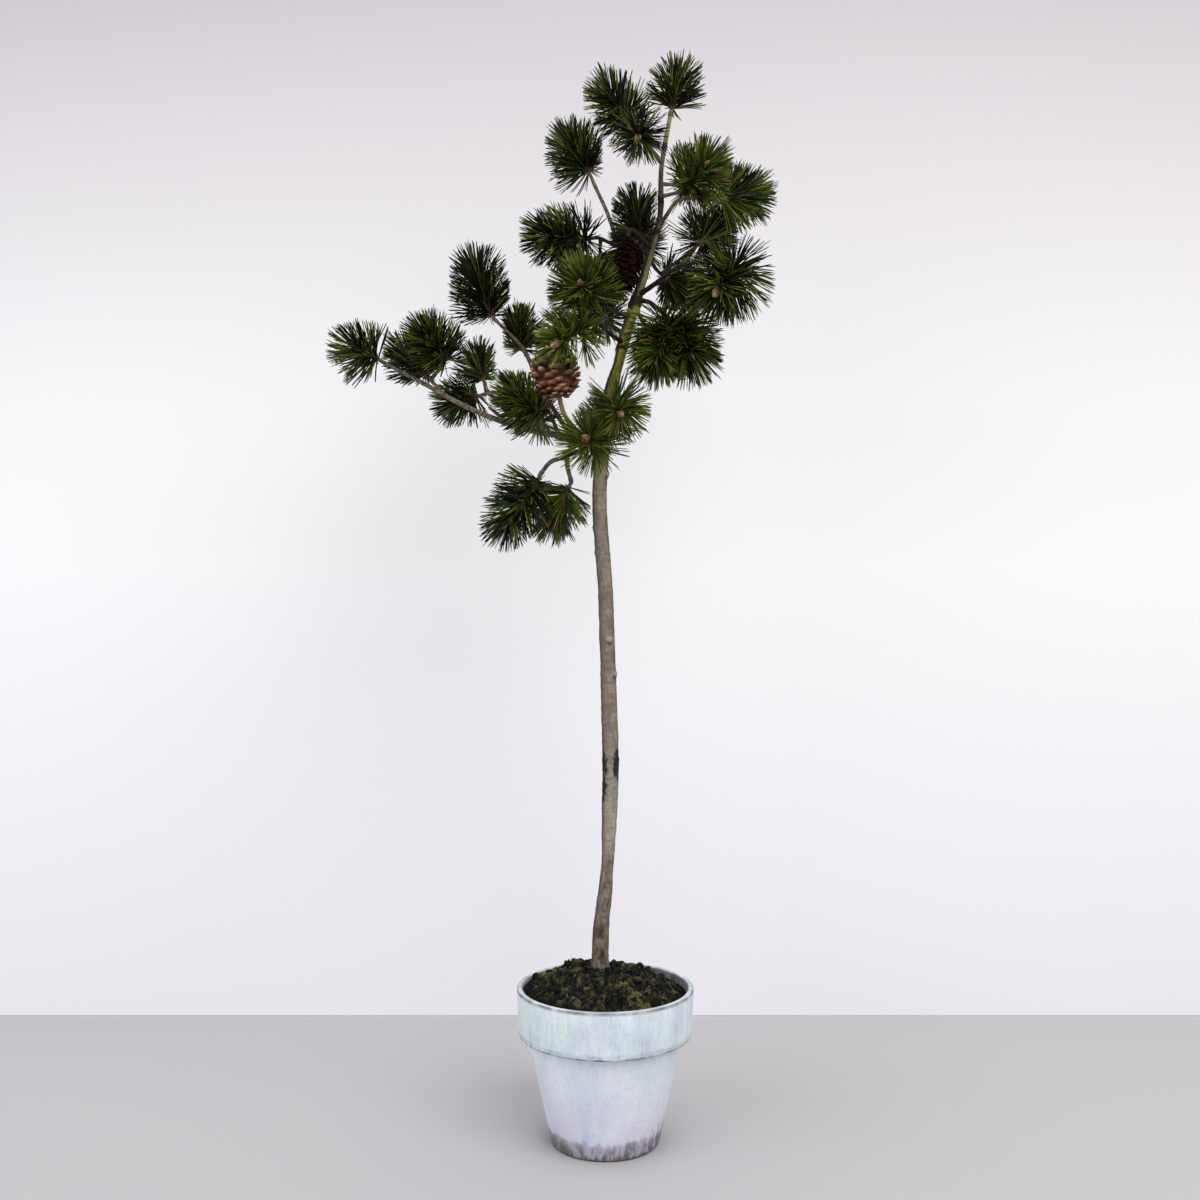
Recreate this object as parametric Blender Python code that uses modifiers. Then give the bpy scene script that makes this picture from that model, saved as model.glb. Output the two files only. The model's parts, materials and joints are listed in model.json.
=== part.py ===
"""A young pine in a whitewashed flowerpot: a tall bare stem under an open crown of needle tufts.

Metres, +Z up. The origin is the centre of the pot's flat underside. The crown leans and
spreads along X, to the left at negative X, and Y runs away from the front.
Limbs, shoots and cones are given in whole millimetres, their places as (right, away, up).
"""

import math
import random
from typing import NamedTuple

import bmesh
import bpy
import numpy as np
from mathutils import Matrix, Vector

MM = 0.001
GAP = 0.0003  # between two pieces that touch
WELD = 1e-6  # corners closer than this are one

# The flowerpot
POT_HEIGHT = 0.1485
RIM_DEPTH = 0.0445
RIM_RADIUS = 0.085
RIM_LOWER_RADIUS = 0.0835
RIM_WALL = 0.0055
SHOULDER_RADIUS = 0.074
FOOT_RADIUS = 0.052
BODY_WALL = 0.0065
POT_FLOOR = 0.009
INNER_SHOULDER_HEIGHT = 0.1
INNER_RIM_FOOT_HEIGHT = 0.11
POT_STEPS = 32
LIP_ROUND = 0.0018
RIM_ROUND = 0.0016
FOOT_ROUND = 0.0030
POT_SHARP = 35  # degrees between two faces, above which their edge stays sharp

# The soil that fills it, heaped to a mossy mound round the trunk
SOIL_TOP = 0.1607
SOIL_EDGE = 0.1395
SEAT_RADIUS = 0.014
MOUND_RINGS = 6
MOUND_POWER = 2.0
MOUND_HIGH_SIDE = math.radians(150)
MOUND_LEAN = 0.8  # how much fuller the mound is there than on average
EDGE_LEAN = 0.0062  # how much higher its edge is there than opposite
LUMPS = 34
LUMP_PLACES = (0.12, 0.8)  # between which squared shares of the mound's radius they lie
LUMP_WIDTHS = (0.009, 0.016)
LUMP_HEIGHTS = (0.0022, 0.0055)
SOIL_SHARP = 60

# The trunk, from its flat cut on the soil to its tip: right, away, up and radius
TRUNK = (
    (-5, 12, 161, 9.7),
    (-5, 12, 167, 8.9),
    (-4, 11, 200, 7.8),
    (0, 8, 238, 6.8),
    (2, 5, 262, 5.9),
    (4, 2, 312, 7.4),
    (5, 0, 351, 8.0),
    (3, 0, 440, 7.5),
    (0, 0, 530, 7.2),
    (-5, 0, 640, 6.9),
    (-1, -2, 674, 6.6),
    (6, -5, 726, 5.9),
    (12, -5, 745, 5.0),
    (18, -4, 770, 5.7),
    (30, -1, 809, 5.2),
    (41, 2, 846, 3.4),
    (53, 4, 892, 2.7),
    (54, 3, 935, 2.4),
    (63, 2, 989, 2.1),
)
TRUNK_SIDES = 10
BOUGH_SIDES = 6
LIMB_PIECES = 2  # to each span between two given rows
BARK_SHARP = 50


class Bough(NamedTuple):
    """A tapering limb that starts part of the way along its parent and runs through its path."""

    parent: str
    start: float
    foot_radius: float
    tip_radius: float
    path: tuple


BOUGHS = {
    "bough_left": Bough("trunk", 500, 3.7, 1.7, (
        (-34, -4, 676), (-63, -6, 681), (-99, -8, 691), (-137, -8, 707), (-168, -8, 724), (-212, -11, 747),
    )),
    "bough_left_fork": Bough("bough_left", 164, 1.6, 1.5, ((-167, -3, 731),)),
    "bough_left_rising": Bough("bough_left", 31, 2.5, 1.6, (
        (-51, 4, 706), (-68, 10, 739), (-78, 14, 762), (-107, 15, 793),
    )),
    "bough_left_rising_fork": Bough("bough_left_rising", 82, 1.6, 1.5, ((-78, 20, 761),)),
    "bough_left_inner": Bough("bough_left", 46, 1.9, 1.6, ((-52, -17, 696),)),
    "bough_left_outer": Bough("bough_left", 90, 1.9, 1.6, ((-99, 2, 706), (-112, 11, 721))),
    "bough_left_back": Bough("bough_left", 60, 1.9, 1.6, ((-62, 20, 688), (-64, 40, 694))),
    "bough_broken": Bough("bough_left", 96, 2.0, 1.5, ((-111, -15, 704),)),
    "bough_hanging": Bough("bough_left", 27, 2.5, 2.0, ((-42, -11, 656), (-52, -12, 652), (-61, -14, 641))),
    "bough_hanging_fork": Bough("bough_hanging", 18, 2.4, 2.0, ((-36, -8, 646), (-33, -4, 635))),
    "bough_front_low": Bough("trunk", 610, 2.2, 1.7, ((6, -26, 770), (-5, -54, 774))),
    "bough_front_high": Bough("trunk", 637, 2.2, 1.7, ((9, -26, 792), (-5, -52, 793))),
    "bough_back_middle": Bough("trunk", 617, 2.2, 1.7, ((7, 28, 790), (-3, 58, 805))),
    "bough_back_right": Bough("trunk", 647, 2.2, 1.7, ((37, 26, 794), (46, 50, 786))),
    "bough_right_low": Bough("trunk", 653, 2.3, 1.8, ((42, -5, 806), (52, -8, 798))),
    "bough_right": Bough("trunk", 658, 2.5, 1.8, ((47, -14, 821), (69, -29, 834), (96, -42, 837))),
    "bough_right_back": Bough("trunk", 697, 2.0, 1.7, ((49, 20, 845), (55, 34, 843))),
    "bough_high_left": Bough("trunk", 668, 2.5, 1.7, ((15, 20, 863), (2, 36, 904), (-10, 48, 934))),
    "bough_middle_left": Bough("trunk", 683, 2.0, 1.7, ((16, 6, 860), (-3, -6, 866))),
    "bough_right_far": Bough("trunk", 725, 2.1, 1.6, ((59, 10, 893), (73, 24, 913), (100, 40, 919))),
    "bough_right_high": Bough("trunk", 758, 1.8, 1.6, ((68, -14, 908),)),
    "bough_back_high": Bough("trunk", 770, 1.8, 1.6, ((70, 26, 929), (81, 44, 937))),
    "bough_top_left": Bough("trunk", 790, 1.9, 1.6, ((45, -5, 952), (35, -10, 962))),
}


class Shoot(NamedTuple):
    """A stem from a limb, or from the mass's own first shoot, and the needles along its end.

    Its start is how far along the limb it leaves it, or TIP. Its needles run from its base to its bud.
    """

    limb: str
    start: object
    base: tuple
    bud: tuple
    needle: float


TIP = "tip"
FORK = "fork"
MASSES = {
    "needles_top": (Shoot("trunk", TIP, (64, 2, 994), (69, 2, 1021), 35),),
    "needles_top_left": (
        Shoot("bough_top_left", TIP, (34, -16, 962), (30, -50, 948), 34),
        Shoot(FORK, 3, (23, -16, 981), (3, -30, 995), 35),
        Shoot(FORK, 4, (26, 16, 985), (15, 54, 1009), 35),
    ),
    "needles_high_left": (Shoot("bough_high_left", TIP, (-16, 54, 950), (-32, 66, 979), 42),),
    "needles_right_high": (Shoot("bough_right_high", TIP, (75, -20, 909), (91, -48, 921), 41),),
    "needles_right_far": (Shoot("bough_right_far", TIP, (115, 44, 921), (142, 52, 926), 40),),
    "needles_high_middle": (Shoot("trunk", 715, (38, 6, 871), (30, 12, 901), 35),),
    "needles_middle_left": (
        Shoot("bough_middle_left", TIP, (-17, -17, 863), (-53, -46, 857), 39),
        Shoot(FORK, 4, (-5, 1, 853), (5, 6, 832), 34),
    ),
    "needles_front_high": (Shoot("bough_front_high", TIP, (-12, -60, 795), (-21, -98, 800), 42),),
    "needles_front_low": (Shoot("bough_front_low", TIP, (-18, -66, 769), (-41, -102, 749), 37),),
    "needles_left_rising": (Shoot("bough_left_rising", TIP, (-110, 17, 797), (-127, 28, 843), 41),),
    "needles_left_rising_fork": (
        Shoot("bough_left_rising_fork", TIP, (-81, 23, 765), (-85, 31, 790), 35),
    ),
    "needles_left_inner": (Shoot("bough_left_inner", TIP, (-59, -22, 697), (-82, -40, 711), 37),),
    "needles_left_outer": (
        Shoot("bough_left_outer", TIP, (-119, 18, 735), (-126, 30, 756), 32),
        Shoot(FORK, 3, (-124, 15, 719), (-148, 24, 714), 33),
    ),
    "needles_left_fork": (
        Shoot("bough_left_fork", TIP, (-173, 2, 737), (-194, 19, 760), 36),
        Shoot(FORK, 3, (-154, -8, 747), (-168, -28, 769), 36),
    ),
    "needles_left_end": (Shoot("bough_left", TIP, (-217, -12, 750), (-236, -27, 756), 37),),
    "needles_hanging": (Shoot("bough_hanging", TIP, (-64, -16, 635), (-93, -36, 593), 38),),
    "needles_hanging_fork": (Shoot("bough_hanging_fork", TIP, (-35, -2, 629), (-50, 5, 600), 37),),
    "needles_low_right": (Shoot("trunk", 545, (9, -26, 706), (13, -62, 692), 42),),
    "needles_low_left": (Shoot("trunk", 488, (-9, -24, 664), (-17, -60, 667), 40),),
    "needles_right": (Shoot("bough_right", TIP, (116, -56, 828), (101, -92, 798), 51),),
    "needles_right_back": (
        Shoot("bough_right_back", TIP, (59, 40, 841), (80, 66, 834), 35),
        Shoot(FORK, 3, (95, 62, 880), (111, 98, 903), 41),
    ),
    "needles_right_low": (
        Shoot("bough_right_low", TIP, (55, -13, 786), (48, -42, 746), 44),
        Shoot(FORK, 4, (64, -15, 785), (80, -42, 750), 44),
    ),
    "needles_back_low": (Shoot("trunk", 528, (1, 34, 690), (-2, 78, 710), 37),),
    "needles_back_left": (Shoot("bough_left_back", TIP, (-65, 48, 697), (-78, 92, 718), 36),),
    "needles_back_middle": (Shoot("bough_back_middle", TIP, (-1, 66, 806), (-10, 108, 824), 39),),
    "needles_back_right": (Shoot("bough_back_right", TIP, (49, 58, 783), (70, 100, 777), 40),),
    "needles_back_centre": (Shoot("trunk", 700, (39, 40, 871), (29, 88, 886), 38),),
    "needles_back_high": (Shoot("bough_back_high", TIP, (85, 52, 941), (105, 92, 962), 36),),
}
LEAD = 0.003  # how far a stem runs straight on from its limb's tip
LEAD_SHARE = 0.4  # of the way to its needles, at most
STEM_RADIUS = 0.0016
CORE_RADIUS = 0.0065
CORE_SWELL = (1.2 * STEM_RADIUS, CORE_RADIUS, 0.5 * CORE_RADIUS)  # from its base to its bud
BUD_LENGTH = 0.006
BUD_TIP_RADIUS = 0.1 * CORE_RADIUS
SHOOT_SIDES = 4
NEEDLES_A_SHOOT = 24
NEEDLE_RADIUS = 0.0025
NEEDLE_SIDES = 3
GOLDEN_ANGLE = math.radians(137.5)
OPENING_AT_BASE = math.radians(78)
OPENING_AT_BUD = math.radians(26)
OPENING_SPREAD = math.radians(9)
NEEDLE_VARIES = (0.86, 1.04)  # the shortest and the longest, against a shoot's given length
SHORTENING = 0.15  # of a needle beside the bud, against one at the base
SPARE = 0.0006  # kept between a needle and whatever isn't its own
TESTED_SHARES = np.linspace(0.2, 1, 9)  # of a needle's length, where its room is tested


class Cone(NamedTuple):
    """An egg-shaped cone on a stalk, its scales standing off a core."""

    parent: str
    start: float
    base: tuple
    apex: tuple
    radius: float
    stand_off: float
    scales: int
    material: str


CONES = {
    "cone_open": Cone("bough_left", 22, (-43, -37, 710), (-50, -46, 750), 23.5, 8.0, 26, "open_cone"),
    "cone_closed": Cone("trunk", 706, (22, -20, 864), (19, -24, 812), 13.5, 2.0, 20, "closed_cone"),
}
CONE_SIDES = 8
STALK_RADIUS = 0.0022
STALK_BEND = 0.006  # below the cone, where its stalk turns into line with it
STALK_END = 0.1  # of the cone's length, up inside it
CONE_LEVELS = (0.02, 0.12, 0.3, 0.55, 0.8, 0.98)
SCALE_SIDES = 4
SCALE_LEVELS = (0.06, 0.96)  # of the cone's length, for the ends of its first and last scale
SCALE_DROP = 0.06  # of the cone's length, from a scale's end back to its root
SCALE_RAISE = 0.02
SCALE_ROOT = 0.3  # of the core's radius
SCALE_WIDTH = 0.22  # of the cone's radius, and a millimetre more
SCALE_ROOT_WIDTH = 0.2  # of its width at its end
SCALE_FLATNESS = 0.62

# Colour, roughness and metallic value of each material
MATERIALS = {
    "whitewashed_clay": ((0.63, 0.69, 0.71), 0.75, 0.0),
    "mossy_soil": ((0.030, 0.032, 0.018), 0.95, 0.0),
    "bark": ((0.26, 0.22, 0.18), 0.85, 0.0),
    "twig_bark": ((0.17, 0.14, 0.11), 0.85, 0.0),
    "pine_needles": ((0.020, 0.045, 0.014), 0.5, 0.0),
    "open_cone": ((0.36, 0.22, 0.14), 0.7, 0.0),
    "closed_cone": ((0.060, 0.030, 0.030), 0.6, 0.0),
}


def clear_scene():
    for thing in list(bpy.data.objects):
        bpy.data.objects.remove(thing, do_unlink=True)


def new_collection(name):
    collection = bpy.data.collections.new(name)
    bpy.context.scene.collection.children.link(collection)
    return collection


def new_object(name, mesh, collection):
    made = bpy.data.objects.new(name, mesh)
    collection.objects.link(made)
    return made


def finish(thing, material_name, sharp_angle=None):
    """Gives a piece its one material and, where it is round, smooth shading."""
    made = bpy.data.materials.get(material_name)
    if not made:
        colour, roughness, metallic = MATERIALS[material_name]
        made = bpy.data.materials.new(material_name)
        made.use_nodes = True
        shader = made.node_tree.nodes["Principled BSDF"]
        shader.inputs["Base Color"].default_value = (*colour, 1)
        shader.inputs["Roughness"].default_value = roughness
        shader.inputs["Metallic"].default_value = metallic
    thing.data.materials.clear()
    thing.data.materials.append(made)
    if sharp_angle:
        thing.data.shade_smooth()
        thing.data.set_sharp_from_angle(angle=math.radians(sharp_angle))


def evaluated_mesh(thing):
    graph = bpy.context.evaluated_depsgraph_get()
    return bpy.data.meshes.new_from_object(thing.evaluated_get(graph))


def apply_modifiers(thing):
    mesh = evaluated_mesh(thing)
    thing.modifiers.clear()
    thing.data = mesh


def fillet(profile, rounds, steps=2):
    """A profile with rounded corners: rounds gives a radius for a corner's number."""
    smooth = []
    for i, corner in enumerate(profile):
        if i not in rounds:
            smooth.append(corner)
            continue
        here, before, after = Vector(corner), Vector(profile[i - 1]), Vector(profile[i + 1])
        back, on = (before - here).normalized(), (after - here).normalized()
        half = back.angle(on) / 2
        reach = rounds[i] / math.tan(half)
        centre = here + (back + on).normalized() * rounds[i] / math.sin(half)
        spoke = here + back * reach - centre
        turn = spoke.angle_signed(here + on * reach - centre)
        for k in range(steps + 1):
            angle = math.atan2(spoke.y, spoke.x) - turn * k / steps
            smooth.append(tuple(centre + Vector((math.cos(angle), math.sin(angle))) * rounds[i]))
    return smooth


def turned(name, profile, collection):
    """A solid turned about the Z axis from a profile of radius and height."""
    mesh = bpy.data.meshes.new(name)
    form = bmesh.new()
    corners = [form.verts.new((radius, 0, height)) for radius, height in profile]
    for a, b in zip(corners[:-1], corners[1:]):
        form.edges.new((a, b))
    form.to_mesh(mesh)
    form.free()
    made = new_object(name, mesh, collection)
    screw = made.modifiers.new("Turn", "SCREW")
    screw.steps = screw.render_steps = POT_STEPS
    screw.use_merge_vertices = True
    screw.merge_threshold = 10 * WELD
    apply_modifiers(made)
    return made


def body_inner_radius(height):
    """The radius of the pot's inner wall, below its rim."""
    rise = height / (POT_HEIGHT - RIM_DEPTH)
    return FOOT_RADIUS + (SHOULDER_RADIUS - FOOT_RADIUS) * rise - BODY_WALL


INNER_SHOULDER = (body_inner_radius(INNER_SHOULDER_HEIGHT), INNER_SHOULDER_HEIGHT)
INNER_RIM_FOOT = (RIM_LOWER_RADIUS - BODY_WALL, INNER_RIM_FOOT_HEIGHT)
INNER_LIP = (RIM_RADIUS - RIM_WALL, POT_HEIGHT)


def make_pot(collection):
    profile = [
        (0, POT_FLOOR),
        (body_inner_radius(POT_FLOOR), POT_FLOOR),
        INNER_SHOULDER,
        INNER_RIM_FOOT,
        INNER_LIP,
        (RIM_RADIUS, POT_HEIGHT),
        (RIM_LOWER_RADIUS, POT_HEIGHT - RIM_DEPTH),
        (SHOULDER_RADIUS, POT_HEIGHT - RIM_DEPTH),
        (FOOT_RADIUS, 0),
        (0, 0),
    ]
    rounds = {4: LIP_ROUND, 5: LIP_ROUND, 6: RIM_ROUND, 8: FOOT_ROUND}
    pot = turned("pot", fillet(profile, rounds), collection)
    finish(pot, "whitewashed_clay", POT_SHARP)


def soil_lumps(reach):
    """Place, width and height of each lump of moss on the mound."""
    rule = random.Random("soil")
    for _ in range(LUMPS):
        turn, out = rule.uniform(0, math.tau), math.sqrt(rule.uniform(*LUMP_PLACES)) * reach
        place = Vector((math.cos(turn), math.sin(turn))) * out
        yield place, rule.uniform(*LUMP_WIDTHS), rule.uniform(*LUMP_HEIGHTS)


def make_soil(collection):
    """A plug that fills the pot, with a lumpy mound on top and a flat seat for the trunk."""
    rise = (SOIL_EDGE - INNER_RIM_FOOT[1]) / (POT_HEIGHT - INNER_RIM_FOOT[1])
    edge_radius = INNER_RIM_FOOT[0] + (INNER_LIP[0] - INNER_RIM_FOOT[0]) * rise - GAP
    rings = [
        (SEAT_RADIUS + (edge_radius - SEAT_RADIUS) * share, SOIL_TOP + (SOIL_EDGE - SOIL_TOP) * share)
        for share in np.linspace(0, 1, MOUND_RINGS + 1)
    ]
    wall = [(radius - GAP, height) for radius, height in (INNER_RIM_FOOT, INNER_SHOULDER)]
    floor = POT_FLOOR + GAP
    profile = [(0, SOIL_TOP), *rings, *wall, (body_inner_radius(floor) - GAP, floor), (0, floor)]
    soil = turned("soil", profile, collection)
    trunk_foot = Vector(TRUNK[0][:2]) * MM
    lumps = list(soil_lumps(edge_radius))
    hair = 0.001  # of the way from the trunk's seat to the pot's wall, for rounding errors
    for vert in soil.data.vertices:
        share = (vert.co.xy.length - SEAT_RADIUS) / (edge_radius - SEAT_RADIUS)
        if vert.co.z < SOIL_EDGE - GAP:
            continue
        if share > hair:
            side = math.cos(math.atan2(vert.co.y, vert.co.x) - MOUND_HIGH_SIDE)
            edge = SOIL_EDGE + EDGE_LEAN * (1 + side) / 2
            vert.co.z = SOIL_TOP + (edge - SOIL_TOP) * share ** (MOUND_POWER + MOUND_LEAN * side)
        if hair < share < 1 - hair:
            for place, width, height in lumps:
                near = max(0, 1 - (vert.co.xy - place).length_squared / width**2)
                vert.co.z += height * near**2
        vert.co.xy += trunk_foot * max(0, min(1 - share, 1))
    finish(soil, "mossy_soil", SOIL_SHARP)


def row(place, radius):
    """One row of a limb: x, y, z and radius, from a place and a radius in metres."""
    return (*place, radius)


def curve_rows(rows, pieces):
    """Finer rows on a smooth curve through the given ones, with pieces to each of their spans."""
    rows = np.array(rows, dtype=float)
    spans = np.linalg.norm(np.diff(rows[:, :3], axis=0), axis=1)
    slopes = np.gradient(rows, np.concatenate([[0], np.cumsum(spans)]), axis=0)
    fine = []
    for i, span in enumerate(spans):
        for t in np.arange(pieces[i]) / pieces[i]:
            ends = (1 + 2 * t) * (1 - t) ** 2 * rows[i] + t * t * (3 - 2 * t) * rows[i + 1]
            leans = t * (1 - t) ** 2 * slopes[i] - t * t * (1 - t) * slopes[i + 1]
            fine.append(ends + leans * span)
    return np.array([*fine, rows[-1]])


def heading_of(rows):
    """The direction in which a limb ends."""
    return Vector(rows[-1][:3] - rows[-2][:3]).normalized()


def point_along(rows, distance):
    """The point of a limb at this distance from its start."""
    for a, b in zip(rows[:-1], rows[1:]):
        span = np.linalg.norm(b[:3] - a[:3])
        if distance <= span:
            break
        distance -= span
    return Vector(a[:3]).lerp(Vector(b[:3]), min(distance / span, 1))


def grow_limbs():
    """The rows of the trunk and of every bough, each from its parent's axis to its tip."""
    trunk = [row(Vector(place) * MM, radius * MM) for *place, radius in TRUNK]
    limbs = {"trunk": curve_rows(trunk, [1] + [LIMB_PIECES] * (len(trunk) - 2))}
    for name, bough in BOUGHS.items():
        stops = [point_along(limbs[bough.parent], bough.start * MM)]
        stops += [Vector(place) * MM for place in bough.path]
        reach = np.cumsum([0] + [(b - a).length for a, b in zip(stops[:-1], stops[1:])])
        radii = bough.foot_radius + (bough.tip_radius - bough.foot_radius) * reach / reach[-1]
        rows = [row(stop, radius * MM) for stop, radius in zip(stops, radii)]
        limbs[name] = curve_rows(rows, [LIMB_PIECES] * (len(rows) - 1))
    return limbs


def grow_shoot(shoot, limbs, first):
    """The rows of a shoot's stem, and those of the axis that bears its needles."""
    base, bud = Vector(shoot.base) * MM, Vector(shoot.bud) * MM
    if shoot.start == TIP:
        limb = limbs[shoot.limb]
        heading, foot_radius = heading_of(limb), limb[-1][3]
        start = Vector(limb[-1][:3]) + heading * GAP
    else:
        limb = first if shoot.limb == FORK else limbs[shoot.limb]
        start, foot_radius = point_along(limb, shoot.start * MM), STEM_RADIUS
        heading = (base - start).normalized()
    lead = start + heading * min(LEAD, LEAD_SHARE * (base - start).length)
    stops = [row(start, foot_radius), row(lead, foot_radius), row(base, STEM_RADIUS), row(bud, STEM_RADIUS)]
    rows = curve_rows(stops, [1, LIMB_PIECES, LIMB_PIECES])
    return rows[:-LIMB_PIECES], rows[-LIMB_PIECES - 1 :]


def grow_masses(limbs):
    """Each mass's shoots, as the rows of a stem, the rows of an axis and a needle length."""
    masses = {}
    for name, shoots in MASSES.items():
        grown = []
        for shoot in shoots:
            stem, axis = grow_shoot(shoot, limbs, grown[0][0] if grown else None)
            grown.append((stem, axis, shoot.needle * MM))
        masses[name] = grown
    return masses


def tube(name, rows, sides, collection):
    """A closed tube along rows of x, y, z and radius, made from a curve with filled caps."""
    curve = bpy.data.curves.new(name, "CURVE")
    curve.dimensions = "3D"
    curve.bevel_depth = MM
    curve.bevel_resolution = (sides - 4) // 2
    curve.use_fill_caps = True
    spline = curve.splines.new("POLY")
    spline.points.add(len(rows) - 1)
    for knot, (x, y, z, radius) in zip(spline.points, rows):
        knot.co = (x, y, z, 1)
        knot.radius = radius / MM
    guide = new_object(name + "_curve", curve, collection)
    mesh = evaluated_mesh(guide)
    bpy.data.objects.remove(guide, do_unlink=True)
    form = bmesh.new()
    form.from_mesh(mesh)
    bmesh.ops.remove_doubles(form, verts=form.verts, dist=WELD)
    bmesh.ops.recalc_face_normals(form, faces=form.faces)
    form.to_mesh(mesh)
    form.free()
    return new_object(name, mesh, collection)


def make_sleeves(limbs, collection):
    """A cutter round every limb that something grows from, a gap wider than the limb."""
    parents = {grown.parent for grown in (*BOUGHS.values(), *CONES.values())}
    clearance = 1.1 * GAP  # a flat side lies a little nearer to the axis than its corners
    sleeves = {}
    for name in sorted(parents):
        wider = limbs[name] + np.array([0, 0, 0, clearance])
        sleeve = tube(name + "_sleeve", wider, TRUNK_SIDES if name == "trunk" else BOUGH_SIDES, collection)
        sleeve.hide_render = True
        sleeve.display_type = "WIRE"
        sleeves[name] = sleeve
    return sleeves


def cut_clear(thing, sleeve):
    """Cuts the foot of what grows from a limb off that limb, a gap clear of it."""
    cut = thing.modifiers.new("Parent", "BOOLEAN")
    cut.operation = "DIFFERENCE"
    cut.object = sleeve


def keep_largest_body(mesh):
    """Drops the loose scraps, and fills the sealed hollows, that fusing leaves."""
    form = bmesh.new()
    form.from_mesh(mesh)
    left = set(form.verts)
    bodies = []
    while left:
        body = {left.pop()}
        edge = set(body)
        while edge:
            edge = {e.other_vert(v) for v in edge for e in v.link_edges} - body
            body |= edge
        left -= body
        bodies.append(body)
    bodies.sort(key=len)
    for body in bodies[:-1]:
        bmesh.ops.delete(form, geom=list(body), context="VERTS")
    form.to_mesh(mesh)
    form.free()


def fuse(body, pieces):
    """Joins a collection's objects to a body in one union, and removes them."""
    union = body.modifiers.new("Union", "BOOLEAN")
    union.operation = "UNION"
    union.operand_type = "COLLECTION"
    union.collection = pieces
    apply_modifiers(body)
    for piece in list(pieces.objects):
        bpy.data.objects.remove(piece, do_unlink=True)
    bpy.data.collections.remove(pieces)
    keep_largest_body(body.data)


def wedge(name, root, end, axes, sizes, sides, collection):
    """A straight cone or pyramid from root to end, with its radius at each."""
    form = bmesh.new()
    place = Matrix.Translation((root + end) / 2) @ axes.to_4x4()
    bmesh.ops.create_cone(
        form,
        cap_ends=True,
        segments=sides,
        radius1=sizes[0],
        radius2=sizes[1],
        depth=(end - root).length,
        matrix=place,
    )
    bmesh.ops.remove_doubles(form, verts=form.verts, dist=WELD)
    mesh = bpy.data.meshes.new(name)
    form.to_mesh(mesh)
    form.free()
    return new_object(name, mesh, collection)


def dense(rows, step=0.002):
    """Rows no more than a step apart, spread evenly along each span."""
    fine = []
    for a, b in zip(rows[:-1], rows[1:]):
        pieces = max(1, math.ceil(np.linalg.norm(b[:3] - a[:3]) / step))
        fine.extend(a + (b - a) * t for t in np.arange(pieces + 1) / pieces)
    return np.array(fine)


def cone_rows(cone, limbs):
    """The rows of a cone's stalk and of the egg that its scales reach."""
    base, apex = Vector(cone.base) * MM, Vector(cone.apex) * MM
    length = apex - base
    foot = point_along(limbs[cone.parent], cone.start * MM)
    stops = [foot, base - length.normalized() * STALK_BEND, base + length * STALK_END]
    stalk = curve_rows([row(stop, STALK_RADIUS) for stop in stops], [3, 1])
    egg = []
    for level in CONE_LEVELS:
        swell = math.sqrt(1 - (2 * level - 1) ** 2)
        egg.append(row(base + length * level, cone.radius * MM * swell))
    return stalk[:-1], np.array(egg)


def space_taken(limbs, masses):
    """What a needle keeps clear of: every limb, cone and stem, and every mass's axes."""
    solids = {name: dense(rows) for name, rows in limbs.items()}
    for name, cone in CONES.items():
        solids[name] = dense(np.vstack(cone_rows(cone, limbs)))
    axes = {}
    for name, shoots in masses.items():
        for number, (stem, _, _) in enumerate(shoots):
            solids[name, number] = dense(stem)
        axes[name] = np.vstack([dense(axis) for _, axis, _ in shoots])
    return solids, axes


def distances(places, rows):
    return np.linalg.norm(places[:, None, :] - rows[None, :, :3], axis=2)


def is_free(root, tip, mass, number, taken):
    """Whether a needle stays in its mass's own space and clear of limbs, stems and cones."""
    solids, axes = taken
    places = np.array([root.lerp(tip, share) for share in TESTED_SHARES])
    thick = NEEDLE_RADIUS * (1 - TESTED_SHARES) + SPARE
    own = distances(places, axes[mass]).min(axis=1)
    for name, rows in axes.items():
        if name != mass and (distances(places, rows).min(axis=1) - own < 2 * thick).any():
            return False
    for name, rows in solids.items():
        clear = (distances(places, rows) - rows[:, 3] > thick[:, None]).all()
        if name != (mass, number) and not clear:
            return False
    return True


def spread_needles(axis, length, rule):
    """Root and tip of each needle of a shoot, spiralling from its base to its bud."""
    heading = Vector(axis[-1][:3] - axis[0][:3]).normalized()
    side = heading.orthogonal().normalized()
    turn = rule.uniform(0, math.tau)
    reach = np.linalg.norm(axis[-1][:3] - axis[0][:3])
    for number in range(NEEDLES_A_SHOOT):
        share = (number + 0.5) / NEEDLES_A_SHOOT
        turn += GOLDEN_ANGLE
        opening = OPENING_AT_BASE + (OPENING_AT_BUD - OPENING_AT_BASE) * share
        opening += rule.uniform(-1, 1) * OPENING_SPREAD
        around = Matrix.Rotation(turn, 3, heading) @ side
        lean = heading * math.cos(opening) + around * math.sin(opening)
        root = point_along(axis, share * reach)
        yield root, root + lean * length * rule.uniform(*NEEDLE_VARIES) * (1 - SHORTENING * share)


def core_rows(stem, axis):
    """The rows of a shoot's core, which swells above its stem and ends in a bud."""
    core = [row(place[:3], radius) for place, radius in zip(axis, CORE_SWELL)]
    bud_end = Vector(axis[-1][:3]) + heading_of(axis) * BUD_LENGTH
    return [*stem[:-1], *core, row(bud_end, BUD_TIP_RADIUS)]


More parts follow.
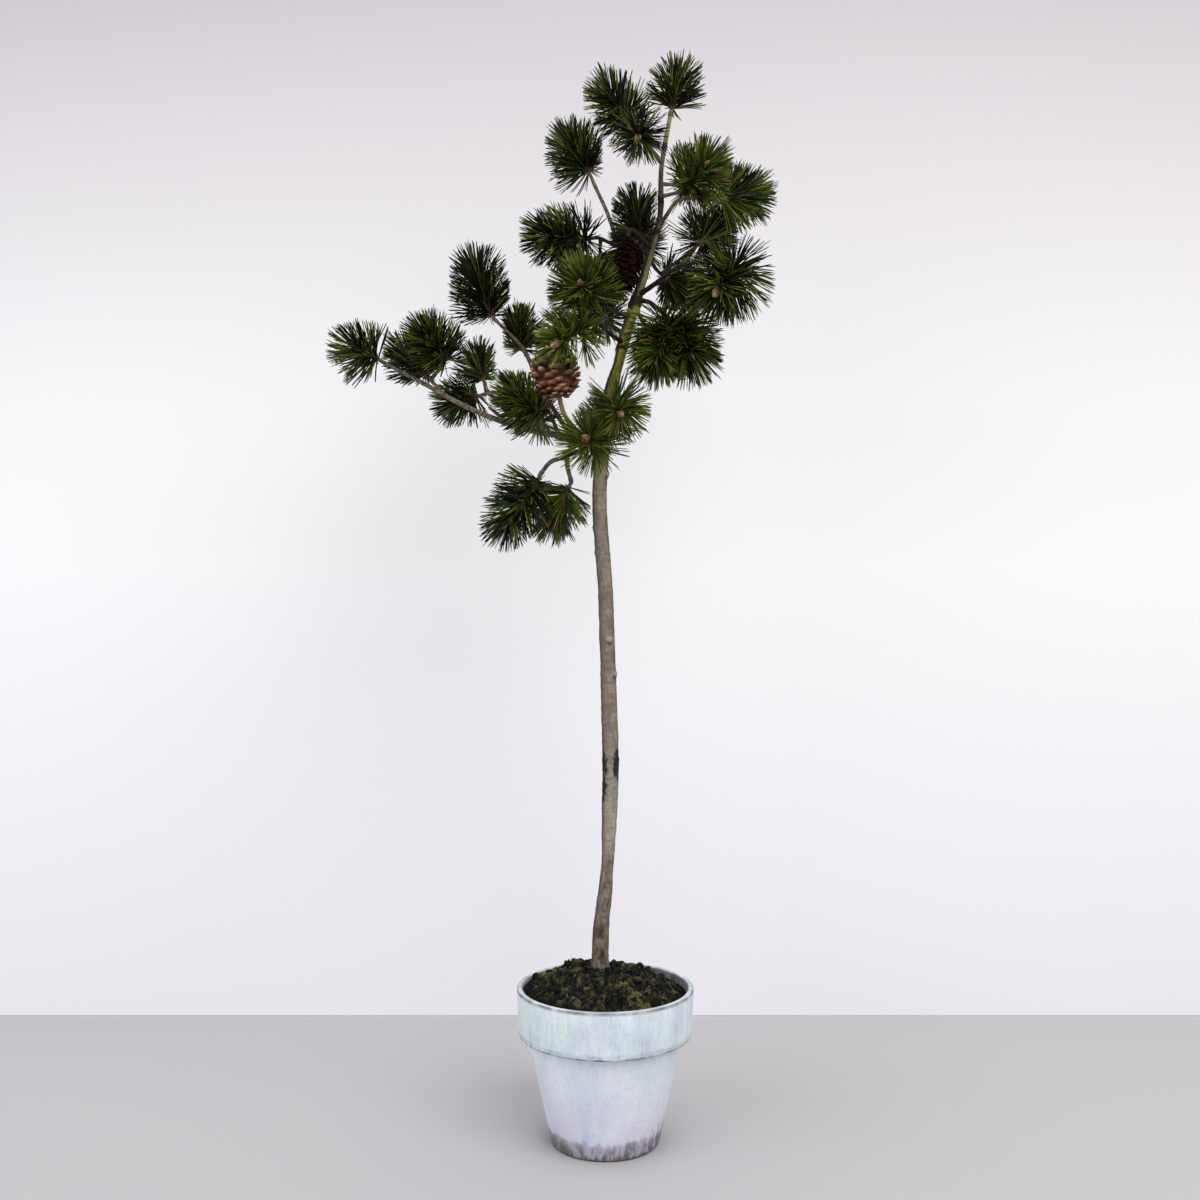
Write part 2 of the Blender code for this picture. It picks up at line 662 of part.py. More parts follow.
def make_mass(name, shoots, taken, collection):
    """One mass: the cores of its shoots, with the needles that have room standing out of them."""
    pieces = new_collection(name + "_pieces")
    rule = random.Random(name)
    cores = []
    for number, (stem, axis, length) in enumerate(shoots):
        label = f"{name}_{number}" if number else name
        home = pieces if number else collection
        cores.append(tube(label, core_rows(stem, axis), SHOOT_SIDES, home))
        for root, tip in spread_needles(axis, length, rule):
            if is_free(root, tip, name, number, taken):
                aim = (tip - root).to_track_quat("Z", "Y").to_matrix()
                wedge(label + "_needle", root, tip, aim, (NEEDLE_RADIUS, 0), NEEDLE_SIDES, pieces)
    fuse(cores[0], pieces)
    finish(cores[0], "pine_needles")
    return cores[0]


def make_cone(name, cone, limbs, collection):
    """A stalk, an egg-shaped core and the scales that spiral round it, fused."""
    stalk, egg = cone_rows(cone, limbs)
    slimmer = (cone.radius - cone.stand_off) / cone.radius
    body = tube(name, [*stalk, *(egg * np.array([1, 1, 1, slimmer]))], CONE_SIDES, collection)
    pieces = new_collection(name + "_pieces")
    base, apex = Vector(cone.base) * MM, Vector(cone.apex) * MM
    length = apex - base
    side = length.orthogonal().normalized()
    for number in range(cone.scales):
        low, high = SCALE_LEVELS
        level = low + (high - low) * (number + 0.5) / cone.scales
        out = Matrix.Rotation(number * GOLDEN_ANGLE, 3, length) @ side
        reach = out * cone.radius * MM * math.sqrt(1 - (2 * level - 1) ** 2)
        root = base + length * (level - SCALE_DROP) + reach * SCALE_ROOT * slimmer
        end = base + length * (level + SCALE_RAISE) + reach
        forward = (end - root).normalized()
        across = length.cross(forward).normalized()
        axes = Matrix((across, forward.cross(across) * SCALE_FLATNESS, forward)).transposed()
        width = SCALE_WIDTH * cone.radius * MM + MM
        wedge(f"{name}_scale", root, end, axes, (SCALE_ROOT_WIDTH * width, width), SCALE_SIDES, pieces)
    fuse(body, pieces)
    finish(body, cone.material)
    return body


def build():
    clear_scene()
    pine = new_collection("potted_pine")
    make_pot(pine)
    make_soil(pine)

    limbs = grow_limbs()
    sleeves = make_sleeves(limbs, new_collection("cutters"))
    finish(tube("trunk", limbs["trunk"], TRUNK_SIDES, pine), "bark", BARK_SHARP)
    for name, bough in BOUGHS.items():
        limb = tube(name, limbs[name], BOUGH_SIDES, pine)
        finish(limb, "twig_bark", BARK_SHARP)
        cut_clear(limb, sleeves[bough.parent])

    masses = grow_masses(limbs)
    taken = space_taken(limbs, masses)
    for name, shoots in masses.items():
        mass = make_mass(name, shoots, taken, pine)
        if MASSES[name][0].start != TIP:
            cut_clear(mass, sleeves[MASSES[name][0].limb])
    for name, cone in CONES.items():
        cut_clear(make_cone(name, cone, limbs, pine), sleeves[cone.parent])


build()
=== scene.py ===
# %% [markdown]
# # A potted pine
#
# A young pine stands in a whitewashed clay pot: a bare leaning stem, then an open top of needle
# tufts, with one long bough to the left. The solids of every limb, tuft and cone are already
# there as a frame, in metres, with the origin under the pot and +Z up. This notebook dresses
# them: it grows bark, twigs, needles, buds, cones and moss in the same places.

# %% Load the frame
import functools
import json
import math
import random
from typing import NamedTuple

import bmesh
import bpy
import numpy as np
from mathutils import Matrix, Vector, noise

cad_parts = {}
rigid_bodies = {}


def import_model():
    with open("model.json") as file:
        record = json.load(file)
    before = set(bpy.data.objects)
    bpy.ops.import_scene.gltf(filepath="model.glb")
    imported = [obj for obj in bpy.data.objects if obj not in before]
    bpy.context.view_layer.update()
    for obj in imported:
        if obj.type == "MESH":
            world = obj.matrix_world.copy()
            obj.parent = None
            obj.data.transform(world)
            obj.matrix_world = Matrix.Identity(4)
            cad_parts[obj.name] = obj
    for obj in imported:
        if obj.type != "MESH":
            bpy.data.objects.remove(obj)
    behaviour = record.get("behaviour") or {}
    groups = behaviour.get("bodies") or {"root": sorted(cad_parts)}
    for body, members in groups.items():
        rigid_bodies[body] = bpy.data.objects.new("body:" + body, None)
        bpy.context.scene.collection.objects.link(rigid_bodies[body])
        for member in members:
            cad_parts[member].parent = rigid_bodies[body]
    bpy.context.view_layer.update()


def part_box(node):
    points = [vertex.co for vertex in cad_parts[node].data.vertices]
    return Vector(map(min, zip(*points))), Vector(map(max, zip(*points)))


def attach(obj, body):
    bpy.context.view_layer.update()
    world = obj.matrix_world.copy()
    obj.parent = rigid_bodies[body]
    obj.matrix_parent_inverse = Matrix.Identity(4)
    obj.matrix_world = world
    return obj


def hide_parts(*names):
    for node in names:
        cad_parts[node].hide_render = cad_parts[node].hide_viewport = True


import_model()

MM = 0.001
GOLDEN_ANGLE = math.radians(137.5)

# %% [markdown]
# ## How a piece is handed over
#
# Every piece gets a material, rides on the plant's one body and hides the solids that it stands for. Small things that
# repeat by the thousand, such as needles, start from one shape made with bmesh operators. Its corners are then copied
# by numpy to all the places at once, which takes a moment, where thousands of operators or objects would take minutes.

# %% Finishing a piece
def hand_over(thing, finish, solids=(), smooth_angle=60):
    """Gives a piece its material, its smoothness and its body, and hides the solids that it replaces."""
    bpy.context.scene.collection.objects.link(thing)
    thing.data.materials.append(finish)
    thing.data.shade_smooth()
    thing.data.set_sharp_from_angle(angle=math.radians(smooth_angle))
    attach(thing, "root")
    if solids:
        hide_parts(*solids)
    print(f"{thing.name}: {sum(len(face.vertices) - 2 for face in thing.data.polygons)} triangles")
    return thing


def piece_from_form(name, form, finish, solids=(), smooth_angle=60):
    mesh = bpy.data.meshes.new(name)
    form.to_mesh(mesh)
    form.free()
    return hand_over(bpy.data.objects.new(name, mesh), finish, solids, smooth_angle)


def arrays_of(form):
    """The corners and the triangles of a bmesh, as arrays."""
    bmesh.ops.triangulate(form, faces=form.faces)
    form.verts.index_update()
    points = np.array([vert.co[:] for vert in form.verts])
    faces = np.array([[vert.index for vert in face.verts] for face in form.faces])
    form.free()
    return points, faces


def copies(shape, turns, places):
    """One shape's arrays repeated: turns holds a 3 by 3 matrix for each copy, places a point."""
    points, faces = shape
    spread = np.einsum("nij,kj->nki", turns, points) + places[:, None, :]
    joined = faces[None, :, :] + np.arange(len(places))[:, None, None] * len(points)
    return spread.reshape(-1, 3), joined.reshape(-1, 3)


def piece_from_copies(name, sets, finish, solids=(), smooth_angle=60):
    """Joins several sets of copies into one piece."""
    points, faces, start = [], [], 0
    for set_points, set_faces in sets:
        points.append(set_points)
        faces.append(set_faces + start)
        start += len(set_points)
    mesh = bpy.data.meshes.new(name)
    mesh.from_pydata(np.vstack(points).tolist(), [], np.vstack(faces).tolist())
    return hand_over(bpy.data.objects.new(name, mesh), finish, solids, smooth_angle)


def mark_points(piece, name, values):
    """Stores one number for each point of a piece, for its material to read."""
    piece.data.attributes.new(name, "FLOAT", "POINT").data.foreach_set("value", values)


def turns_along(directions, spins, sizes, towards=None):
    """Matrices that take +Z to each direction and +X towards a given one, then spin and scale."""
    ahead = directions / np.linalg.norm(directions, axis=1, keepdims=True)
    if towards is None:
        towards = np.where(np.abs(ahead[:, 2:]) < 0.9, [[0.0, 0, 1]], [[1.0, 0, 0]])
    across = np.cross(ahead, towards)
    across /= np.linalg.norm(across, axis=1, keepdims=True)
    aside = np.cross(across, ahead)
    cos, sin = np.cos(spins)[:, None], np.sin(spins)[:, None]
    first, second = aside * cos + across * sin, across * cos - aside * sin
    return np.stack([first, second, ahead], axis=2) * sizes[:, None, :]


# %% [markdown]
# ## The camera and the light
#
# The photograph looks level at the plant from about 1.25 m, with the pot a little under the
# horizon line. A pale floor sweeps up into a wall, and two large soft lights with a bright
# sky keep the shadows faint, as in a bright white room.

# %% Camera
HORIZON = 0.520
DISTANCE = 1.253
ASIDE = -0.0051
LENS = 39
camera_data = bpy.data.cameras.new("camera")
camera_data.lens = LENS
camera_data.sensor_width = 36
camera = bpy.data.objects.new("camera", camera_data)
camera.location = (ASIDE, -DISTANCE, HORIZON)
camera.rotation_euler = (math.radians(90), 0, 0)
bpy.context.scene.collection.objects.link(camera)
bpy.context.scene.camera = camera
bpy.context.scene.view_settings.view_transform = "Standard"

# %% Floor and wall in one sweep
SWEEP_START = 0.36
SWEEP_ROUND = 0.005
form = bmesh.new()
corner = [form.verts.new((0, -4, 0)), form.verts.new((0, SWEEP_START, 0))]
for step in range(1, 13):
    turn = math.radians(90) * step / 12
    corner.append(form.verts.new(
        (0, SWEEP_START + SWEEP_ROUND * math.sin(turn), SWEEP_ROUND * (1 - math.cos(turn)))
    ))
corner.append(form.verts.new((0, SWEEP_START + SWEEP_ROUND, 4)))
edges = [form.edges.new(pair) for pair in zip(corner[:-1], corner[1:])]
for vert in form.verts:
    vert.co.x = -4
wide = bmesh.ops.extrude_edge_only(form, edges=edges)["geom"]
bmesh.ops.translate(form, verts=[v for v in wide if isinstance(v, bmesh.types.BMVert)], vec=(8, 0, 0))
bmesh.ops.recalc_face_normals(form, faces=form.faces)
bmesh.ops.reverse_faces(form, faces=form.faces)
sweep_mesh = bpy.data.meshes.new("sweep")
form.to_mesh(sweep_mesh)
form.free()
sweep_mesh.shade_smooth()
print("the wall faces", tuple(round(c) for c in sweep_mesh.polygons[-1].normal))
sweep = bpy.data.objects.new("sweep", sweep_mesh)
bpy.context.scene.collection.objects.link(sweep)
PALE_FLOOR = (0.43, 0.42, 0.435)
PALE_WALL = (0.80, 0.79, 0.815)
for label, tint in (("pale_floor", PALE_FLOOR), ("pale_wall", PALE_WALL)):
    paper = bpy.data.materials.new(label)
    paper.use_nodes = True
    paper.node_tree.nodes["Principled BSDF"].inputs["Base Color"].default_value = (*tint, 1)
    paper.node_tree.nodes["Principled BSDF"].inputs["Roughness"].default_value = 0.9
    sweep_mesh.materials.append(paper)
for face in sweep_mesh.polygons:
    face.material_index = int(face.center.z > 0.7 * SWEEP_ROUND)
# The wall's tone is painted light and shade: palest at the middle of the view and a little duller towards its top and
# foot.
tree = paper.node_tree
place = tree.nodes.new("ShaderNodeTexCoord")
parts = tree.nodes.new("ShaderNodeSeparateXYZ")
share = tree.nodes.new("ShaderNodeMapRange")
share.inputs["From Max"].default_value = 1.4
painted_wall_light = tree.nodes.new("ShaderNodeValToRGB")
painted_wall_light.color_ramp.elements[0].color = (0.775, 0.765, 0.805, 1)
painted_wall_light.color_ramp.elements[1].color = (0.375, 0.340, 0.375, 1)
painted_wall_light.color_ramp.elements.new(0.40).color = (0.815, 0.812, 0.825, 1)
painted_wall_light.color_ramp.elements.new(0.55).color = (0.750, 0.745, 0.755, 1)
tree.links.new(place.outputs["Object"], parts.inputs[0])
tree.links.new(parts.outputs["Z"], share.inputs["Value"])
tree.links.new(share.outputs["Result"], painted_wall_light.inputs["Fac"])
tree.links.new(painted_wall_light.outputs["Color"], tree.nodes["Principled BSDF"].inputs["Base Color"])
# From behind the wall is clear, so that the plant can be looked at from its back too.
facing = tree.nodes.new("ShaderNodeNewGeometry")
clear = tree.nodes.new("ShaderNodeBsdfTransparent")
one_sided = tree.nodes.new("ShaderNodeMixShader")
tree.links.new(facing.outputs["Backfacing"], one_sided.inputs[0])
tree.links.new(tree.nodes["Principled BSDF"].outputs[0], one_sided.inputs[1])
tree.links.new(clear.outputs[0], one_sided.inputs[2])
tree.links.new(one_sided.outputs[0], tree.nodes["Material Output"].inputs["Surface"])

# %% Lights
LIGHTS = (
    ("key", (1.1, -1.7, 2.2), 2.2, 52, (1.0, 0.985, 0.955)),
    ("fill", (-1.7, -1.3, 1.3), 1.8, 18, (0.95, 0.965, 1.0)),
    ("top", (0.0, -0.1, 2.6), 1.2, 18, (1.0, 0.99, 0.97)),
)
for name, place, size, power, tint in LIGHTS:
    lamp_data = bpy.data.lights.new(name, "AREA")
    lamp_data.size = size
    lamp_data.energy = power
    lamp_data.color = tint
    lamp = bpy.data.objects.new(name, lamp_data)
    lamp.location = place
    lamp.rotation_euler = (Vector((0, 0, 0.5)) - Vector(place)).to_track_quat("-Z", "Y").to_euler()
    bpy.context.scene.collection.objects.link(lamp)
world = bpy.data.worlds.new("white_room")
world.use_nodes = True
world.node_tree.nodes["Background"].inputs["Color"].default_value = (0.93, 0.93, 0.95, 1)
world.node_tree.nodes["Background"].inputs["Strength"].default_value = 0.66
bpy.context.scene.world = world

# %% [markdown]
# ## Shared finishes
#
# Two effects are used by many materials, so each is a node group made once. `mottle` mixes
# two colours by a soft noise on the piece's own coordinates. `grain` makes a bump normal from
# a noise that can be stretched along the grain.

# %% Node helpers
def group_of(name, inputs, outputs):
    """An empty shader node group with named sockets, and its two end nodes."""
    tree = bpy.data.node_groups.new(name, "ShaderNodeTree")
    for label, kind in inputs:
        tree.interface.new_socket(label, in_out="INPUT", socket_type=kind)
    for label, kind in outputs:
        tree.interface.new_socket(label, in_out="OUTPUT", socket_type=kind)
    return tree, tree.nodes.new("NodeGroupInput"), tree.nodes.new("NodeGroupOutput")


def connect(tree, *pairs):
    for start, end in pairs:
        tree.links.new(start, end)


COLOUR, VALUE, VECTOR = "NodeSocketColor", "NodeSocketFloat", "NodeSocketVector"
mottle, start, end = group_of(
    "mottle",
    [("First", COLOUR), ("Second", COLOUR), ("Scale", VALUE), ("Stretch", VECTOR), ("Contrast", VALUE)],
    [("Colour", COLOUR), ("Mask", VALUE)],
)
place = mottle.nodes.new("ShaderNodeTexCoord")
stretch = mottle.nodes.new("ShaderNodeVectorMath")
stretch.operation = "MULTIPLY"
blotch = mottle.nodes.new("ShaderNodeTexNoise")
blotch.inputs["Detail"].default_value = 6
centre = mottle.nodes.new("ShaderNodeMath")
centre.operation = "SUBTRACT"
centre.inputs[1].default_value = 0.5
sharpen = mottle.nodes.new("ShaderNodeMath")
sharpen.operation = "MULTIPLY_ADD"
sharpen.use_clamp = True
sharpen.inputs[2].default_value = 0.5
blend = mottle.nodes.new("ShaderNodeMix")
blend.data_type = "RGBA"
connect(
    mottle,
    (place.outputs["Object"], stretch.inputs[0]),
    (start.outputs["Stretch"], stretch.inputs[1]),
    (stretch.outputs[0], blotch.inputs["Vector"]),
    (start.outputs["Scale"], blotch.inputs["Scale"]),
    (blotch.outputs["Fac"], centre.inputs[0]),
    (centre.outputs[0], sharpen.inputs[0]),
    (start.outputs["Contrast"], sharpen.inputs[1]),
    (sharpen.outputs[0], blend.inputs[0]),
    (start.outputs["First"], blend.inputs[6]),
    (start.outputs["Second"], blend.inputs[7]),
    (blend.outputs[2], end.inputs["Colour"]),
    (sharpen.outputs[0], end.inputs["Mask"]),
)

grain, start, end = group_of(
    "grain",
    [("Scale", VALUE), ("Stretch", VECTOR), ("Depth", VALUE)],
    [("Normal", VECTOR)],
)
place = grain.nodes.new("ShaderNodeTexCoord")
stretch = grain.nodes.new("ShaderNodeVectorMath")
stretch.operation = "MULTIPLY"
ridges = grain.nodes.new("ShaderNodeTexNoise")
ridges.inputs["Detail"].default_value = 8
bump = grain.nodes.new("ShaderNodeBump")
bump.inputs["Strength"].default_value = 1
bump.inputs["Distance"].default_value = 0.001
connect(
    grain,
    (place.outputs["Object"], stretch.inputs[0]),
    (start.outputs["Stretch"], stretch.inputs[1]),
    (stretch.outputs[0], ridges.inputs["Vector"]),
    (start.outputs["Scale"], ridges.inputs["Scale"]),
    (ridges.outputs["Fac"], bump.inputs["Height"]),
    (start.outputs["Depth"], bump.inputs["Strength"]),
    (bump.outputs["Normal"], end.inputs["Normal"]),
)
print("node groups:", mottle.name, grain.name)


# %% Building a material from the groups
def new_material(name, roughness, sheen=0.0, specular=0.5):
    made = bpy.data.materials.new(name)
    made.use_nodes = True
    shader = made.node_tree.nodes["Principled BSDF"]
    shader.inputs["Roughness"].default_value = roughness
    shader.inputs["Sheen Weight"].default_value = sheen
    shader.inputs["Specular IOR Level"].default_value = specular
    return made, made.node_tree, shader


def add_mottle(tree, first, second, scale, stretch=(1, 1, 1), contrast=2.5):
    node = tree.nodes.new("ShaderNodeGroup")
    node.node_tree = mottle
    for label, colour in (("First", first), ("Second", second)):
        if isinstance(colour, tuple):
            node.inputs[label].default_value = (*colour, 1)
        else:
            tree.links.new(colour, node.inputs[label])
    node.inputs["Scale"].default_value = scale
    node.inputs["Stretch"].default_value = stretch
    node.inputs["Contrast"].default_value = contrast
    return node


def add_grain(tree, shader, scale, depth, stretch=(1, 1, 1)):
    node = tree.nodes.new("ShaderNodeGroup")
    node.node_tree = grain
    node.inputs["Scale"].default_value = scale
    node.inputs["Stretch"].default_value = stretch
    node.inputs["Depth"].default_value = depth
    tree.links.new(node.outputs["Normal"], shader.inputs["Normal"])


def add_ramp(tree, source, stops):
    """A colour ramp: stops gives a position and a colour or grey for each."""
    ramp = tree.nodes.new("ShaderNodeValToRGB")
    band = ramp.color_ramp
    while len(band.elements) < len(stops):
        band.elements.new(0.5)
    for element, (position, colour) in zip(band.elements, stops):
        element.position = position
        element.color = (*colour, 1) if isinstance(colour, tuple) else (colour, colour, colour, 1)
    tree.links.new(source, ramp.inputs["Fac"])
    return ramp


def add_mix(tree, mask, first, second):
    """A colour that goes from first to second as the mask goes from 0 to 1."""
    node = tree.nodes.new("ShaderNodeMix")
    node.data_type = "RGBA"
    tree.links.new(mask, node.inputs[0])
    for socket, colour in ((node.inputs[6], first), (node.inputs[7], second)):
        if isinstance(colour, tuple):
            socket.default_value = (*colour, 1)
        else:
            tree.links.new(colour, socket)
    return node.outputs[2]


def share_of_way(tree, low, high, along="Z"):
    """How far along an axis a point lies, from 0 at low to 1 at high."""
    place = tree.nodes.new("ShaderNodeTexCoord")
    parts = tree.nodes.new("ShaderNodeSeparateXYZ")
    share = tree.nodes.new("ShaderNodeMapRange")
    share.inputs["From Min"].default_value = low
    share.inputs["From Max"].default_value = high
    connect(tree, (place.outputs["Object"], parts.inputs[0]), (parts.outputs[along], share.inputs["Value"]))
    return share.outputs["Result"]


def add_attribute(tree, name):
    """The value that a piece's own points carry under this name."""
    node = tree.nodes.new("ShaderNodeAttribute")
    node.attribute_name = name
    return node.outputs["Fac"]


def shifted(tree, value, mask, amount):
    """A value moved up where the mask is over a half, and down where it is under."""
    node = tree.nodes.new("ShaderNodeMath")
    node.operation = "MULTIPLY_ADD"
    node.inputs[1].default_value = amount
    tree.links.new(mask, node.inputs[0])
    tree.links.new(value, node.inputs[2])
    centred = tree.nodes.new("ShaderNodeMath")
    centred.operation = "SUBTRACT"
    centred.inputs[1].default_value = amount / 2
    tree.links.new(node.outputs[0], centred.inputs[0])
    return centred.outputs[0]


def times(tree, first, second):
    node = tree.nodes.new("ShaderNodeMath")
    node.operation = "MULTIPLY"
    node.use_clamp = True
    tree.links.new(first, node.inputs[0])
    tree.links.new(second, node.inputs[1])
    return node.outputs[0]


# %% [markdown]
# ## The pot
#
# A clay flowerpot is thrown on a wheel, so its shape is one outline turned about its axis. The outline is drawn with
# rounded corners and spun. The sizes repeat those of the solid. Its white wash is thin: bluish on the rim, warmer
# below, streaked downwards and rubbed off in dark spots along the foot and the edges. Painted shade darkens it under
# the rim, on the inner wall and in a thin line at the foot.

# %% The pot's outline
POT_HEIGHT = 0.1485
RIM_DEPTH = 0.0445
RIM_RADIUS = 0.085
RIM_LOWER_RADIUS = 0.0835
RIM_WALL = 0.0055
SHOULDER_RADIUS = 0.074
FOOT_RADIUS = 0.052
BODY_WALL = 0.0065
POT_FLOOR = 0.009
INNER_SHOULDER_HEIGHT = 0.1
INNER_RIM_FOOT_HEIGHT = 0.11
POT_STEPS = 144


def fillet(profile, rounds, steps=5):
    """A profile with rounded corners: rounds gives a radius for a corner's number."""
    smooth = []
    for i, corner in enumerate(profile):
        if i not in rounds:
            smooth.append(corner)
            continue
        here, before, after = Vector(corner), Vector(profile[i - 1]), Vector(profile[i + 1])
        back, on = (before - here).normalized(), (after - here).normalized()
        half = back.angle(on) / 2
        reach = rounds[i] / math.tan(half)
        centre = here + (back + on).normalized() * rounds[i] / math.sin(half)
        spoke = here + back * reach - centre
        turn = spoke.angle_signed(here + on * reach - centre)
        for k in range(steps + 1):
            angle = math.atan2(spoke.y, spoke.x) - turn * k / steps
            smooth.append(tuple(centre + Vector((math.cos(angle), math.sin(angle))) * rounds[i]))
    return smooth


def body_inner_radius(height):
    rise = height / (POT_HEIGHT - RIM_DEPTH)
    return FOOT_RADIUS + (SHOULDER_RADIUS - FOOT_RADIUS) * rise - BODY_WALL


def spun(outline, steps):
    """A bmesh turned about Z from an outline of radius and height."""
    form = bmesh.new()
    corners = [form.verts.new((radius, 0, height)) for radius, height in outline]
    edges = [form.edges.new(pair) for pair in zip(corners[:-1], corners[1:])]
    bmesh.ops.spin(
        form,
        geom=corners + edges,
        axis=(0, 0, 1),
        cent=(0, 0, 0),
        steps=steps,
        angle=math.tau,
        use_merge=True,
    )
    bmesh.ops.remove_doubles(form, verts=form.verts, dist=1e-6)
    return form


INNER_LIP = (RIM_RADIUS - RIM_WALL, POT_HEIGHT)
INNER_RIM_FOOT = (RIM_LOWER_RADIUS - BODY_WALL, INNER_RIM_FOOT_HEIGHT)
pot_outline = fillet(
    [
        (0, POT_FLOOR),
        (body_inner_radius(POT_FLOOR), POT_FLOOR),
        (body_inner_radius(INNER_SHOULDER_HEIGHT), INNER_SHOULDER_HEIGHT),
        INNER_RIM_FOOT,
        INNER_LIP,
        (RIM_RADIUS, POT_HEIGHT),
        (RIM_LOWER_RADIUS, POT_HEIGHT - RIM_DEPTH),
        (SHOULDER_RADIUS, POT_HEIGHT - RIM_DEPTH),
        (FOOT_RADIUS, 0),
        (0, 0),
    ],
    {1: 0.003, 3: 0.002, 4: 0.0018, 5: 0.0018, 6: 0.0016, 7: 0.0012, 8: 0.0030},
)
form = spun(pot_outline, POT_STEPS)
bmesh.ops.recalc_face_normals(form, faces=form.faces)

# %% White wash on clay
whitewash, tree, shader = new_material("whitewash", 0.62)
rim_tints = add_mottle(tree, (0.53, 0.58, 0.71), (0.62, 0.76, 0.75), 24, (1, 1, 0.8), 4)
rim_wash = add_mottle(tree, rim_tints.outputs["Colour"], (0.68, 0.765, 0.785), 46, (1, 1, 0.7), 3)
body_tints = add_mottle(tree, (0.57, 0.62, 0.80), (0.66, 0.78, 0.80), 22, (1, 1, 0.45), 4)
body_wash = add_mottle(tree, body_tints.outputs["Colour"], (0.78, 0.82, 0.88), 34, (1, 1, 0.35), 2.5)
level = share_of_way(tree, 0, POT_HEIGHT)
RIM_SHARE = (POT_HEIGHT - RIM_DEPTH) / POT_HEIGHT
on_rim = add_ramp(tree, level, [(RIM_SHARE - 0.004, 0.0), (RIM_SHARE + 0.004, 1.0)])
wash = add_mix(tree, on_rim.outputs["Color"], body_wash.outputs["Colour"], rim_wash.outputs["Colour"])
# The wash was laid on with a brush, downwards, and dried in fine streaks, most of all on the rim.
streaks = add_mottle(tree, (0, 0, 0), (1, 1, 1), 900, (1, 1, 0.05), 3)
streaked = add_ramp(tree, on_rim.outputs["Color"], [(0.0, 0.18), (1.0, 1.0)])
faint = add_ramp(tree, streaks.outputs["Mask"], [(0.35, 0.0), (1.0, 0.17)])
faint_mask = times(tree, faint.outputs["Color"], streaked.outputs["Color"])
wash = add_mix(tree, faint_mask, wash, (0.36, 0.41, 0.46))
long_streaks = add_mottle(tree, (0, 0, 0), (1, 1, 1), 190, (1, 1, 0.08), 7)
long_faint = add_ramp(tree, long_streaks.outputs["Mask"], [(0.80, 0.0), (1.0, 0.19)])
long_mask = times(tree, long_faint.outputs["Color"], streaked.outputs["Color"])
wash = add_mix(tree, long_mask, wash, (0.38, 0.44, 0.52))
pale_brush = add_mottle(tree, (0, 0, 0), (1, 1, 1), 260, (1, 1, 0.3), 3)
pale = add_ramp(tree, pale_brush.outputs["Mask"], [(0.45, 0.0), (1.0, 0.15)])
pale_mask = times(tree, pale.outputs["Color"], streaked.outputs["Color"])
wash = add_mix(tree, pale_mask, wash, (0.88, 0.92, 0.92))
dust = add_mottle(tree, (0, 0, 0), (1, 1, 1), 330, (1, 1, 0.7), 7)
dusty = add_ramp(tree, dust.outputs["Mask"], [(0.82, 0.0), (1.0, 0.12)])
wash = add_mix(tree, dusty.outputs["Color"], wash, (0.30, 0.32, 0.38))
# Below, the wash turns pinkish lilac, and at the foot wet soil has run through it in thin drips.
pinkish = add_mottle(tree, (0, 0, 0), (1, 1, 1), 34, (1, 1, 0.8), 4)
low_down = add_ramp(tree, level, [(0.02, 0.95), (0.46, 0.0)])
pink_mask = times(tree, pinkish.outputs["Mask"], low_down.outputs["Color"])
wash = add_mix(tree, pink_mask, wash, (0.66, 0.59, 0.72))
worn = add_mottle(tree, (0, 0, 0), (1, 1, 1), 55, (1, 1, 0.1), 4)
crumbs = add_mottle(tree, (0, 0, 0), (1, 1, 1), 150, (1, 1, 0.8), 3)
foot_level = shifted(tree, shifted(tree, level, worn.outputs["Mask"], -0.025), crumbs.outputs["Mask"], -0.035)
damp = add_ramp(tree, foot_level, [(0.0, 0.85), (0.07, 0.72), (0.105, 0.50), (0.125, 0.0)])
wash = add_mix(tree, damp.outputs["Color"], wash, (0.315, 0.285, 0.355))
drips = add_mottle(tree, (0, 0, 0), (1, 1, 1), 210, (1, 1, 0.30), 8)
drip_level = shifted(tree, foot_level, drips.outputs["Mask"], -0.04)
drip_reach = add_ramp(tree, drip_level, [(0.0, 0.95), (0.03, 0.65), (0.09, 0.25), (0.13, 0.0)])
drip_mask = times(tree, drips.outputs["Mask"], drip_reach.outputs["Color"])
wash = add_mix(tree, drip_mask, wash, (0.085, 0.078, 0.080))
specks = add_mottle(tree, (0, 0, 0), (1, 1, 1), 420, (1, 1, 0.5), 7)
speck_reach = add_ramp(tree, foot_level, [(0.0, 0.70), (0.05, 0.35), (0.12, 0.0)])
speck_mask = times(tree, specks.outputs["Mask"], speck_reach.outputs["Color"])
wash = add_mix(tree, speck_mask, wash, (0.13, 0.12, 0.125))
# A thin dark line along the very foot is painted contact shadow.
foot_contact_shadow = add_ramp(tree, level, [(0.0, 0.9), (0.008, 0.7), (0.025, 0.0)])
wash = add_mix(tree, foot_contact_shadow.outputs["Color"], wash, (0.075, 0.072, 0.075))
# Algae have stained its left foot olive brown, and soil has run further up on its right.
to_left = share_of_way(tree, -0.053, -0.026, "X")
left_foot = add_ramp(tree, to_left, [(0.0, 0.85), (0.6, 0.55), (1.0, 0.0)])
foot_only = add_ramp(tree, foot_level, [(0.02, 1.0), (0.15, 0.0)])
algae = times(tree, left_foot.outputs["Color"], foot_only.outputs["Color"])
wash = add_mix(tree, algae, wash, (0.105, 0.092, 0.060))
to_right = share_of_way(tree, 0.034, 0.054, "X")
right_foot = add_ramp(tree, shifted(tree, level, drips.outputs["Mask"], -0.10), [(0.03, 0.85), (0.19, 0.0)])
run_up = times(tree, times(tree, to_right, right_foot.outputs["Color"]), add_ramp(
    tree, drips.outputs["Mask"], [(0.0, 0.35), (1.0, 1.0)]).outputs["Color"])
wash = add_mix(tree, run_up, wash, (0.120, 0.112, 0.125))


